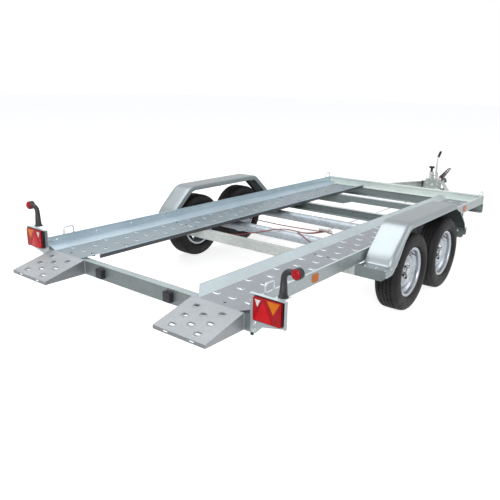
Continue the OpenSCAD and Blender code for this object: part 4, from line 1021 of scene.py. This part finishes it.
@dataclass
class MudguardPress:
    """Pressed mudguard over both wheels, with a rolled outer edge, painted shade on its inner side, and a foot at each
    end.
    """

    inner: float = 1023.0
    width: float = 227.0
    shoulder: float = 40.0
    corner: float = 7.0
    sheet: float = 2.6
    roll: float = 4.0
    valance: float = 46.0
    knee_depth: float = 76.0
    skirt: float = 61.0
    nose: float = 20.0
    fade: float = 130.0
    nose_fade: float = 70.0
    hub: tuple[float, float, float] = (1.136, -0.7065, 0.4)
    stay_reach: tuple[float, float] = (1214.0, 1247.0)
    stay_plates: tuple[tuple[float, float, float], ...] = ((-1601.0, 1.0, 396.0), (148.5, -1.0, 386.0))
    path: tuple[tuple[float, float, float], ...] = (
        (-1596.5, 461.0, 0.0), (-1496.5, 461.0, 25.0), (-1454.5, 531.0, 300.0), (-1221.5, 741.0, 170.0),
        (-191.5, 741.0, 150.0), (70.0, 523.0, 110.0), (104.0, 461.0, 20.0), (143.5, 461.0, 0.0))

    def stations(self) -> list[tuple[Vector, float, float, float]]:
        """Places along the path.

        Returns:
            For each, its point in Y and Z, its heading, and the depths of the outer and inner valances.
        """
        points = [Vector(spot[:2]) for spot in self.path]
        ways = [(after - before).normalized() for before, after in zip(points, points[1:])]
        depths = (self.skirt, self.skirt, self.knee_depth, self.valance, self.valance, self.nose, self.nose, self.nose)
        inners = (3.0, 3.0, self.valance, self.valance, self.valance, self.valance, 3.0, 3.0)
        found: list[tuple[Vector, float, float, float]] = []
        for run, drop in ((0.0, 18.0), (1.5, 11.0), (5.0, 5.5), (11.0, 1.5), (18.0, 0.0)):
            found.append((points[0] + ways[0] * run, 0.0, self.skirt - drop, 3.0))
        for number in range(1, len(points) - 1):
            before, after = ways[number - 1], ways[number]
            start, end = math.atan2(before.y, before.x), math.atan2(after.y, after.x)
            turn = end - start
            radius, side = self.path[number][2], math.copysign(1.0, turn)
            run = radius * math.tan(abs(turn) / 2)
            centre = points[number] - before * run + side * radius * Vector((-before.y, before.x))
            steps = 12 if radius > 30.0 else 8
            for step in range(steps + 1):
                angle = start + turn * step / steps
                place = centre - side * radius * Vector((-math.sin(angle), math.cos(angle)))
                inner = inners[number]
                if number in (1, 6):
                    part = step / steps if number == 1 else 1.0 - step / steps
                    inner = 3.0 + (self.valance - 3.0) * part
                found.append((place, angle, depths[number], inner))
            if number in (2, 4):
                fade = self.fade if number == 2 else self.nose_fade
                for part in (0.5, 1.0):
                    found.append((points[number] + after * (run + fade * part), end,
                                  depths[number] + (depths[number + 1] - depths[number]) * part, self.valance))
        for run, drop in ((12.0, 0.0), (6.0, 1.0), (2.0, 3.0), (0.0, 5.0)):
            found.append((points[-1] - ways[-1] * run, 0.0, self.nose - drop, 3.0))
        return found

    def section(self, depth: float, inner: float) -> list[Vector]:
        """Closed section of the sheet, as places across and depths below the top.

        Args:
            depth: Depth of the outer valance.
            inner: Depth of the inner valance.

        Returns:
            The outer side from the inner valance to the rolled edge, then the sheet's inner side back.
        """
        small = self.corner if inner > 20.0 else 3.5
        shoulder = min(self.shoulder, depth - 2 * self.roll - 2.0)
        across = [Vector((0.0, inner)), Vector((0.0, (inner + small) / 2))]
        for step in range(5):
            angle = math.pi / 2 * step / 4
            across.append(Vector((small - small * math.cos(angle), small - small * math.sin(angle))))
        across += [Vector((self.width * part, 0.0)) for part in (0.25, 0.5, 0.7)]
        for step in range(9):
            angle = math.pi / 2 * step / 8
            across.append(Vector((self.width - shoulder + shoulder * math.sin(angle),
                                  shoulder - shoulder * math.cos(angle))))
        low = depth - self.roll
        across.append(Vector((self.width, (shoulder + low) / 2)))
        for step in range(8):
            angle = math.radians(210.0 * step / 7)
            across.append(Vector((self.width - self.roll + self.roll * math.cos(angle),
                                  low + self.roll * math.sin(angle))))
        back = []
        for number, point in enumerate(across):
            before = across[max(number - 1, 0)]
            after = across[min(number + 1, len(across) - 1)]
            way = (after - before).normalized()
            back.append(point + Vector((-way.y, way.x)) * self.sheet)
        return across + list(reversed(back))

    def form(self) -> Form:
        """The right mudguard."""
        form = Form()
        edges: list = []
        ring: list = []
        for place, heading, depth, inner in self.stations():
            spots = [Vector((self.inner + point.x, place.x + point.y * math.sin(heading),
                             place.y - point.y * math.cos(heading))) for point in self.section(depth, inner)]
            if not ring:
                ring, edges = form.chain(spots, True)
                form.mesh.faces.new(ring)
                continue
            fresh, edges = form.extend(edges)
            old = set(ring)
            follower = {edge.other_vert(vert): vert for vert in fresh for edge in vert.link_edges
                        if edge.other_vert(vert) in old}
            ring = [follower[vert] for vert in ring]
            for vert, spot in zip(ring, spots):
                vert.co = spot
        form.mesh.faces.new(ring)
        return form

    def build(self, shop: Workshop) -> None:
        """Makes both mudguards.

        Args:
            shop: Where the pieces are finished.
        """
        form, plates = self.form(), Form()
        for side in Side:
            guard = Form()
            guard.stamp(form, [Matrix.Diagonal((side.value, 1.0, 1.0, 1.0))])
            name = f"{side.name.lower()}_mudguard"
            piece = shop.mount(guard, f"{name}_press", "chassis", "mudguard", [name], 40.0)
            # Painted shade: faces that point towards the wheel get the dark inner material.
            piece.data.materials.append(shop.wardrobe.material("guard_inside_shade"))
            middle = Vector((side.value * self.hub[0], *self.hub[1:]))
            for face in piece.data.polygons:
                face.material_index = int(face.normal.dot(face.center - middle) < 0.0)
        start, end = self.stay_reach
        for along, way, bottom in self.stay_plates:
            web, flange = Form(), Form()
            web.slab([(start, along, 458.0), (end, along, 458.0), (end, along, bottom + 16.0),
                      (end - 4.0, along, bottom + 5.0), (end - 14.0, along, bottom), (start, along, bottom)],
                     (0.0, 3.0 * way, 0.0), bevel=0.8)
            flange.slab([(start, along, 455.0), (end, along, 455.0), (end, along + 40.0 * way, 455.0),
                         (end - 12.0, along + 54.0 * way, 455.0), (start, along + 54.0 * way, 455.0)],
                        (0.0, 0.0, 3.0), bevel=0.8)
            for plate in (web, flange):
                plates.stamp(plate, both_sides([Matrix.Identity(4)]))
                plate.mesh.free()
        shop.mount(plates, "stay_ends", "chassis", "beam")
        form.mesh.free()


@dataclass
class HoleCollars:
    """Raised collars around the anti-slip holes of the runways and tail ramps."""

    half_straight: float = 10.0
    half_width: float = 11.0
    deck_rear: float = -2837.5
    floor_top: float = 461.0
    runway_middle: float = 757.5
    first_row: float = 136.0
    row_pitch: float = 160.0
    rows: int = 26
    column_pitch: float = 130.0
    ramp_place: float = 752.0
    ramp_length: float = 330.0
    ramp_drop: float = 83.0
    ramp_column: float = 101.0
    ramp_row: float = 102.0
    ramp_shift: float = 8.0
    runway_tube: float = 14.0
    ramp_tube: float = 3.4

    def collar(self, tube: float) -> Form:
        """One collar around the origin, open below.

        Args:
            tube: How far it reaches down into its hole.

        Returns:
            The collar.
        """
        form = Form()
        bmesh.ops.create_circle(form.mesh, radius=self.half_width, segments=18)
        edges = form.mesh.edges[:]

        def settle(verts: list, out: float, height: float) -> None:
            """Puts a ring of vertices at a distance from the hole's edge and at a height."""
            for vert in verts:
                angle = math.atan2(vert.co.y, vert.co.x) if vert.co.xy.length > 0 else 0.0
                reach = self.half_width + out
                vert.co = (reach * math.cos(angle), reach * math.sin(angle), height)

        settle(form.mesh.verts[:], 8.5, 0.1)
        for out, height in ((4.6, 2.8), (0.9, 3.7), (-0.5, -tube)):
            verts, edges = form.extend(edges)
            settle(verts, out, height)
        for vert in form.mesh.verts:
            if abs(vert.co.x) > 0.01:
                vert.co.x += math.copysign(self.half_straight, vert.co.x)
        return form

    def runway_places(self) -> list[Matrix]:
        """Places of the holes of the right runway."""
        places = []
        for row in range(self.rows):
            columns = (-1.0, 0.0, 1.0) if row % 2 == 0 else (-0.5, 0.5)
            for column in columns:
                places.append(Matrix.Translation((self.runway_middle + column * self.column_pitch,
                                                  self.deck_rear + self.first_row + row * self.row_pitch,
                                                  self.floor_top)))
        return places

    def ramp_places(self) -> list[Matrix]:
        """Places of the holes of the right tail ramp, each sheared to the ramp's slope."""
        middle = self.deck_rear - self.ramp_length / 2 - self.ramp_shift
        spots = [(column * self.ramp_column, row * self.ramp_row) for column in (-1, 1) for row in (-1, 0, 1)]
        spots += [(0.0, row * self.ramp_row) for row in (-0.5, 0.5)]
        slope = self.ramp_drop / self.ramp_length
        shear = Matrix(((1, 0, 0, 0), (0, 1, 0, 0), (0, slope, 1, 0), (0, 0, 0, 1)))
        return [Matrix.Translation((self.ramp_place + across, middle + along,
                                    self.floor_top + (middle + along - self.deck_rear) * slope)) @ shear
                for across, along in spots]

    def build(self, shop: Workshop) -> None:
        """Makes the collars of each side's runway and ramp.

        Args:
            shop: Where the pieces are finished.
        """
        for side in Side:
            mirror = Matrix.Diagonal((side.value, 1.0, 1.0, 1.0))
            # The right collars take the lighter collar finish as painted light; the left ones take the far runway's
            # finish with its painted light and shade.
            rim = "collar" if side is Side.RIGHT else "floor_far"
            for name, places, tube, finish in (("runway", self.runway_places(), self.runway_tube, rim),
                                               ("tail_ramp", self.ramp_places(), self.ramp_tube, "ramp")):
                form, collar = Form(), self.collar(tube)
                form.stamp(collar, [mirror @ place for place in places])
                shop.mount(form, f"{side.name.lower()}_{name}_collars", "chassis", finish, sharp=60.0)
                collar.mesh.free()


@dataclass
class Bellows:
    """Rubber bellows of the overrun unit, in one fixed shape on the chassis; the real ones fold up as the drawbar
    slides in.
    """

    rear: float = 2721.5
    length: float = 90.0
    height: float = 430.0
    radius: float = 42.0
    waist: float = 31.0
    neck: float = 29.0
    folds: int = 6

    def build(self, shop: Workshop) -> None:
        """Makes the bellows.

        Args:
            shop: Where the pieces are finished.
        """
        form = Form()
        cuff = 7.0
        pitch = (self.length - 2 * cuff) / self.folds
        profile = [(self.neck, 0.0), (self.waist + 2.0, 0.0), (self.waist + 2.0, cuff)]
        for fold in range(self.folds):
            for part, reach in ((0.12, 0.05), (0.3, 0.7), (0.42, 0.96), (0.5, 1.0), (0.58, 0.96), (0.7, 0.7),
                                (0.88, 0.05)):
                profile.append((self.waist + (self.radius - self.waist) * reach, cuff + (fold + part) * pitch))
        profile += [(self.waist + 2.0, self.length - cuff), (self.waist + 2.0, self.length), (self.neck, self.length)]
        form.turn([(0.0, self.rear + along, self.height + out) for out, along in profile],
                  (0.0, 0.0, self.height), (0, 1, 0), 40)
        for along in (2.5, self.length - 5.5):
            form.turn([(0.0, self.rear + along + step, self.height + self.waist + rise)
                       for step, rise in ((0.0, 1.9), (0.0, 3.6), (3.0, 3.6), (3.0, 1.9))],
                      (0.0, 0.0, self.height), (0, 1, 0), 40)
        piece = shop.mount(form, "bellows_folds", "chassis", "rubber", ["drawbar_bellows"], 50.0)
        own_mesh(piece)


@dataclass
class Fasteners:
    """Bolts with washers on the deck frame, and screws in the rubber buffers."""

    deck_rear: float = -2837.5
    floor_top: float = 461.0

    def hex_bolt(self, size: float) -> Form:
        """One hexagon bolt with its washer, along Z.

        Args:
            size: Diameter of its thread.

        Returns:
            The bolt.
        """
        form = Form()
        washer = size * 0.18
        form.turn([(0.0, 0.0, washer + size * 0.66), (size * 0.62, 0.0, washer + size * 0.66),
                   (size * 0.92, 0.0, washer + size * 0.52), (size * 0.92, 0.0, washer)],
                  (0, 0, 0), (0, 0, 1), 6)
        form.turn([(size * 0.6, 0.0, washer), (size * 1.08, 0.0, washer), (size * 1.16, 0.0, washer * 0.6),
                   (size * 1.16, 0.0, -0.4)], (0, 0, 0), (0, 0, 1), 18)
        return form

    def dome_bolt(self, size: float) -> Form:
        """One low round-headed bolt, along Z.

        Args:
            size: Diameter of its thread.

        Returns:
            The bolt.
        """
        form = Form()
        form.turn([(0.0, 0.0, size * 0.42), (size * 0.5, 0.0, size * 0.36), (size * 0.85, 0.0, size * 0.2),
                   (size * 1.02, 0.0, -0.3)], (0, 0, 0), (0, 0, 1), 16)
        return form

    def hex_places(self) -> list[Matrix]:
        """Places of the hexagon bolts of the right side."""
        rear = self.deck_rear
        spots = [((1032.0, rear, height), (0, -1, 0)) for height in (376.4, 417.2)]
        spots += [((1001.0, rear + 14.0, 521.0), (-1, 0, 0)), ((1163.0, -1575.0, 461.0), (0, 0, 1)),
                  ((1076.0, -1575.0, 461.0), (0, 0, 1)), ((1163.0, 118.0, 461.0), (0, 0, 1)),
                  ((1076.0, 118.0, 461.0), (0, 0, 1)), ((1162.0, 144.5, 418.0), (0, -1, 0))]
        spots += [((935.0, tube + step, 436.0), (-1, 0, 0)) for tube in (-964.5, -258.5) for step in (-20.0, 20.0)]
        spots += [((48.0, along, height), (1, 0, 0)) for along in (2532.0, 2672.0) for height in (398.0, 466.0)]
        spots += [((72.0, 2497.5, height), (0, -1, 0)) for height in (382.0, 440.0, 482.0)]
        return [facing(place, way) for place, way in spots]

    def deck_places(self) -> list[Matrix]:
        """Places of the low bolts that hold the right runway to the beams."""
        rows = ((-2792.5, (772.5,)), (-1571.5, (640.0, 757.5, 880.0)), (118.5, (640.0, 757.5, 880.0)),
                (818.5, (692.5, 822.5)), (1400.0, (640.0, 757.5, 880.0)))
        return [Matrix.Translation((across, along, self.floor_top)) for along, row in rows for across in row]

    def build(self, shop: Workshop) -> None:
        """Makes the fasteners.

        Args:
            shop: Where the pieces are finished.
        """
        bolts, heads, screws = Form(), Form(), Form()
        hexagon, dome, small = self.hex_bolt(11.0), self.dome_bolt(10.0), self.hex_bolt(8.0)
        bolts.stamp(hexagon, both_sides(self.hex_places()))
        heads.stamp(dome, both_sides(self.deck_places()))
        screws.stamp(small, both_sides([facing((345.0, self.deck_rear - 32.0, 406.0), (0, -1, 0))]))
        shop.mount(bolts, "frame_bolts", "chassis", "bolt")
        shop.mount(heads, "runway_bolts", "chassis", "dark_bolt", sharp=50.0)
        shop.mount(screws, "buffer_screws", "chassis", "dark_bolt")
        knob, knobs = Form(), Form()
        knob.turn([(0.0, 0.0, 362.0), (8.0, 0.0, 362.0), (8.0, 0.0, 352.0), (11.0, 0.0, 350.0), (11.0, 0.0, 340.0),
                   (8.0, 0.0, 336.0), (0.0, 0.0, 335.0)], (0, 0, 0), (0, 0, 1), 20)
        knobs.stamp(knob, both_sides([Matrix.Translation((1012.0, self.deck_rear + 9.0, 0.0))]))
        knob.mesh.free()
        shop.mount(knobs, "beam_plugs", "chassis", "plastic")
        neck = Form()
        neck.stamp(hexagon, both_sides([facing((32.4, along, 440.0), (1, 0, 0)) for along in (2830.0, 2862.0)]))
        shop.mount(neck, "coupling_bolts", "coupling", "bolt")
        plug = Form()
        plug.turn([(24.2, 2517.4, 430.0), (24.2, 2513.0, 430.0), (22.4, 2511.4, 430.0), (16.0, 2511.0, 430.0),
                   (14.5, 2512.4, 430.0), (0.0, 2512.4, 430.0)], (0.0, 0.0, 430.0), (0, 1, 0), 32)
        plug.stamp(small, [facing((0.0, 2512.4, 430.0), (0, -1, 0))])
        shop.mount(plug, "tube_plug", "coupling", "fitting")
        for shape in (hexagon, dome, small):
            shape.mesh.free()


@dataclass
class Welds:
    """Weld beads where plates and beams meet."""

    deck_rear: float = -2837.5
    size: float = 3.6
    pitch: float = 4.2

    def seam(self, start: Sequence[float], end: Sequence[float]) -> list[Matrix]:
        """Places of the scales of one straight seam.

        Args:
            start: Where the seam starts.
            end: Where it ends.

        Returns:
            One place for each scale, leaning along the seam.
        """
        run = Vector(end) - Vector(start)
        count = max(2, int(run.length / self.pitch))
        turn = run.to_track_quat("X", "Z").to_matrix().to_4x4() @ Matrix.Rotation(0.35, 4, "Y")
        squeeze = Matrix.Diagonal((0.75, 1.0, 1.0, 1.0))
        return [Matrix.Translation(Vector(start) + run * (step + 0.5) / count) @ turn @ squeeze
                for step in range(count)]

    def places(self) -> list[Matrix]:
        """Places of all the scales of the right side."""
        rear, spots = self.deck_rear, []
        seams = [((1005.5, 1422.5, 462.0), (1005.5, 1422.5, 546.0)),
                 ((1006.0, -1601.0, 384.0), (1006.0, -1601.0, 456.0)),
                 ((1006.0, -1598.0, 458.0), (1006.0, -1545.0, 458.0)),
                 ((1006.0, 148.5, 372.0), (1006.0, 148.5, 456.0)),
                 ((1006.0, 92.0, 458.0), (1006.0, 146.0, 458.0)),
                 ((959.0, rear, 358.0), (959.0, rear, 454.0)), ((545.0, rear, 358.0), (545.0, rear, 454.0)),
                 ((1006.0, rear + 4.0, 462.0), (1006.0, rear + 4.0, 546.0)),
                 ((671.0, 1473.0, 358.0), (671.0, 1473.0, 454.0)),
                 ((624.0, 1473.0, 458.0), (668.0, 1473.0, 458.0)),
                 ((92.0, 2497.0, 440.0), (92.0, 2497.0, 496.0)),
                 ((937.0, -999.5, 457.0), (1003.0, -999.5, 457.0)),
                 ((937.0, -929.5, 457.0), (1003.0, -929.5, 457.0)),
                 ((937.0, -293.5, 457.0), (1003.0, -293.5, 457.0)),
                 ((937.0, -223.5, 457.0), (1003.0, -223.5, 457.0))]
        for start, end in seams:
            spots += self.seam(start, end)
        for place in (186.0, 4190.0):
            for leg in (-44.0, 44.0):
                for number in range(9):
                    angle = math.tau * number / 9
                    spots.append(Matrix.Translation((998.0 + 6.6 * math.cos(angle),
                                                     rear + place + leg + 6.6 * math.sin(angle), 550.4))
                                 @ Matrix.Rotation(angle + math.pi / 2, 4, "Z"))
        return spots

    def build(self, shop: Workshop) -> None:
        """Makes the welds.

        Args:
            shop: Where the pieces are finished.
        """
        scale, form = Form(), Form()
        bmesh.ops.create_icosphere(scale.mesh, subdivisions=1, radius=self.size)
        form.stamp(scale, both_sides(self.places()))
        shop.mount(form, "weld_beads", "chassis", "weld", sharp=80.0)
        scale.mesh.free()


@dataclass
class LampFaces:
    """Reflex triangles on the tail lamps, and domes on the marker lamps."""

    lens_left: float = 1047.0
    lens_width: float = 192.0
    lens_bottom: float = 455.0
    lens_height: float = 140.0
    lens_face: float = -2873.5
    marker_x: float = 1283.0
    marker_y: float = -2792.5
    marker_z: float = 757.0
    marker_half: float = 18.0

    def triangle(self, corners: Sequence[tuple[float, float]], rise: float) -> Form:
        """One raised triangle with bevelled edges.

        Args:
            corners: Its corners, as shares of the lens's width and height.
            rise: How far it stands out.

        Returns:
            The triangle.
        """
        form = Form()
        outline = [(self.lens_left + across * self.lens_width, self.lens_face + 0.5,
                    self.lens_bottom + up * self.lens_height) for across, up in corners]
        form.slab(outline, (0.0, -rise - 0.5, 0.0), bevel=1.1)
        return form

    def dome(self, radius: float, height: float) -> Form:
        """One lens dome around the origin, bulging along Z."""
        form = Form()
        steps = 8
        profile = [(radius * math.cos(math.pi / 2 * step / steps), 0.0, height * math.sin(math.pi / 2 * step / steps))
                   for step in range(steps + 1)]
        form.turn([(radius, 0.0, -1.0)] + profile, (0, 0, 0), (0, 0, 1), 28)
        return form

    def build(self, shop: Workshop) -> None:
        """Makes the triangles and the domes.

        Args:
            shop: Where the pieces are finished.
        """
        identity = [Matrix.Identity(4)]
        red = self.triangle(((0.05, 0.05), (0.70, 0.04), (0.385, 0.9)), 2.4)
        faces = Form()
        faces.stamp(red, both_sides(identity))
        shop.mount(faces, "reflex_triangles", "chassis", "reflex")
        dome = self.dome(30.0, 15.0)
        for name, way, finish in (("marker_domes_rear", -1.0, "red"), ("marker_domes_front", 1.0, "clear")):
            form = Form()
            form.stamp(dome, both_sides([facing((self.marker_x, self.marker_y + way * self.marker_half, self.marker_z),
                                                (0.0, way, 0.0))]))
            shop.mount(form, name, "chassis", finish, sharp=60.0)
        for shape in (red, dome):
            shape.mesh.free()


@dataclass
class Handgrip:
    """Ribbed grip of the handbrake lever, with its red release button."""

    origin: tuple[float, float, float] = (17.0, 2587.5, 791.0)
    lean: float = 46.0
    start: float = 14.0
    end: float = 120.0
    radius: float = 17.0
    channel: tuple[tuple[float, float], ...] = ((0.0, 560.0), (24.0, 560.0), (24.0, 650.0), (22.5, 796.0), (8.5, 796.0))

    def build(self, shop: Workshop) -> None:
        """Makes the grip, the button and the lever's pressed cover.

        Args:
            shop: Where the pieces are finished.
        """
        frame = Matrix.Translation(self.origin) @ Matrix.Rotation(-math.radians(self.lean), 4, "X")
        grip, button = Form(), Form()
        profile = [(7.2, 0.0, self.start), (self.radius - 1.5, 0.0, self.start), (self.radius, 0.0, self.start + 1.5),
                   (self.radius, 0.0, self.start + 6.0)]
        along = self.start + 8.0
        while along < self.end - 22.0:
            profile += [(self.radius - 2.2, 0.0, along), (self.radius - 2.2, 0.0, along + 2.0),
                        (self.radius - 0.2, 0.0, along + 3.0), (self.radius - 0.2, 0.0, along + 7.5)]
            along += 9.0
        profile += [(self.radius, 0.0, self.end - 20.0), (self.radius - 1.6, 0.0, self.end - 16.5),
                    (self.radius - 5.0, 0.0, self.end - 15.0), (0.0, 0.0, self.end - 15.0)]
        grip.turn(profile, (0, 0, 0), (0, 0, 1), 36)
        bmesh.ops.transform(grip.mesh, matrix=frame, verts=grip.mesh.verts[:])
        button.turn([(11.0, 0.0, self.end - 16.0), (11.0, 0.0, self.end - 3.0), (9.2, 0.0, self.end - 0.8),
                     (0.0, 0.0, self.end)], (0, 0, 0), (0, 0, 1), 24)
        bmesh.ops.transform(button.mesh, matrix=frame, verts=button.mesh.verts[:])
        shop.mount(grip, "ribbed_grip", "handbrake", "plastic", ["handbrake_grip"])
        shop.mount(button, "release_button", "handbrake", "red_plastic")
        cover = Form()
        cover.slab([(across, self.origin[1] - 11.0, height) for across, height in self.channel],
                   (0.0, 5.0, 0.0), bevel=1.6)
        shop.mount(cover, "lever_cover", "handbrake", "fitting")


@dataclass
class CouplingLever:
    """Raised lever of the coupling head: two open side plates, cross pins and a bar to pull."""

    half: float = 20.0
    plate: float = 5.0
    pivot: tuple[float, float] = (2841.5, 493.0)
    boss: float = 12.0
    outline: tuple[tuple[float, float], ...] = (
        (2841.5, 481.0), (2947.5, 488.0), (3160.0, 575.5), (3167.5, 580.0), (3167.5, 586.0), (3160.0, 589.0),
        (2927.5, 532.0), (2841.5, 505.0))
    block: tuple[tuple[float, float], ...] = (
        (2822.0, 477.0), (2900.0, 477.0), (2900.0, 496.0), (2876.0, 520.0), (2836.0, 526.0), (2822.0, 512.0))

    def build(self, shop: Workshop) -> None:
        """Makes the lever.

        Args:
            shop: Where the pieces are finished.
        """
        form = Form()
        side = Form()
        side.slab([(self.half - self.plate, along, height) for along, height in self.outline],
                  (self.plate, 0.0, 0.0), bevel=0.8)
        form.stamp(side, both_sides([Matrix.Identity(4)]))
        for along, height, radius in ((*self.pivot, self.boss), (2918.0, 505.0, 5.0), (2994.0, 527.0, 4.5),
                                      (3064.0, 549.0, 4.5), (3120.0, 568.5, 4.5), (3159.0, 582.0, 6.0)):
            reach = self.half - 0.2
            form.turn([(reach, along, height), (reach, along, height + radius - 0.8),
                       (reach - 0.8, along, height + radius), (0.8 - reach, along, height + radius),
                       (-reach, along, height + radius - 0.8), (-reach, along, height)],
                      (0.0, along, height), (1, 0, 0), 24)
        shop.mount(form, "coupling_lever_frame", "coupling_lever", "iron", ["coupling_handle"])
        block, tag = Form(), Form()
        block.slab([(-13.0, along, height) for along, height in self.block], (26.0, 0.0, 0.0), bevel=2.0)
        shop.mount(block, "pivot_block", "coupling", "iron")
        tag.turn([(0.0, 2817.0, 489.0), (7.0, 2817.6, 489.0), (10.0, 2819.6, 489.0), (10.5, 2823.0, 489.0)],
                 (0.0, 2820.0, 489.0), (0, 1, 0), 24)
        shop.mount(tag, "wear_button", "coupling", "red_plastic")
        side.mesh.free()


@dataclass
class ClampScrew:
    """Black star grip with its screw, beside the clamp of the jockey wheel."""

    place: tuple[float, float, float] = (-128.0, 2490.0, 430.0)

    def build(self, shop: Workshop) -> None:
        """Makes the grip.

        Args:
            shop: Where the pieces are finished.
        """
        form, lobe = Form(), Form()
        form.turn([(0.0, 0.0, 20.0), (11.0, 0.0, 19.0), (13.0, 0.0, 15.0), (13.0, 0.0, 2.0), (8.0, 0.0, 0.0),
                   (8.0, 0.0, -24.0)], (0, 0, 0), (0, 0, 1), 24)
        lobe.turn([(0.0, 0.0, 17.0), (8.0, 0.0, 16.0), (10.0, 0.0, 13.0), (10.0, 0.0, 4.0), (8.0, 0.0, 2.0),
                   (0.0, 0.0, 2.0)], (0, 0, 0), (0, 0, 1), 16)
        form.stamp(lobe, [Matrix.Translation((0.0, reach, 0.0)) for reach in (-34.0, -22.0, 22.0, 34.0)])
        bmesh.ops.transform(form.mesh, matrix=facing(self.place, (0, -1, 0)), verts=form.mesh.verts[:])
        shop.mount(form, "clamp_grip", "chassis", "plastic")
        lobe.mesh.free()


class SmoothCopies:
    """Smooth-shaded copies of the swept nodes, whose solids have flat facets."""

    NODES: tuple[tuple[str, str, float], ...] = (("brake_cables", "cable", 50.0), ("marker_arms", "rubber", 34.0))

    def build(self, shop: Workshop, nodes: dict[str, bpy.types.Object]) -> None:
        """Makes the copies.

        Args:
            shop: Where the pieces are finished.
            nodes: The frame's nodes by name.
        """
        for name, finish, sharp in self.NODES:
            form = Form()
            form.mesh.from_mesh(nodes[name].data)
            bmesh.ops.remove_doubles(form.mesh, verts=form.mesh.verts, dist=0.00001)
            bmesh.ops.scale(form.mesh, verts=form.mesh.verts, vec=(1000.0, 1000.0, 1000.0))
            shop.mount(form, f"{name}_smooth", "chassis", finish, [name], sharp)


def corners(box: tuple[Vector, Vector]) -> list[list[float]]:
    """A box's two corners as plain lists."""
    return [[float(value) for value in corner] for corner in box]


def main() -> None:
    """Loads the frame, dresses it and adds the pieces."""
    logging.basicConfig(level=logging.INFO, format="%(name)s: %(message)s")
    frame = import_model()
    bpy.context.scene.view_settings.view_transform = "Standard"
    PhotoCamera().build()
    Studio().build()
    wardrobe = Wardrobe()
    wardrobe.dress_frame(frame["nodes"])
    shop = Workshop(wardrobe)
    Tyre().build(shop, AXLES)
    WheelTrim().build(shop, AXLES)
    MudguardPress().build(shop)
    HoleCollars().build(shop)
    Bellows().build(shop)
    Fasteners().build(shop)
    Welds().build(shop)
    LampFaces().build(shop)
    Handgrip().build(shop)
    CouplingLever().build(shop)
    ClampScrew().build(shop)
    SmoothCopies().build(shop, frame["nodes"])


if __name__ == "__main__":
    main()
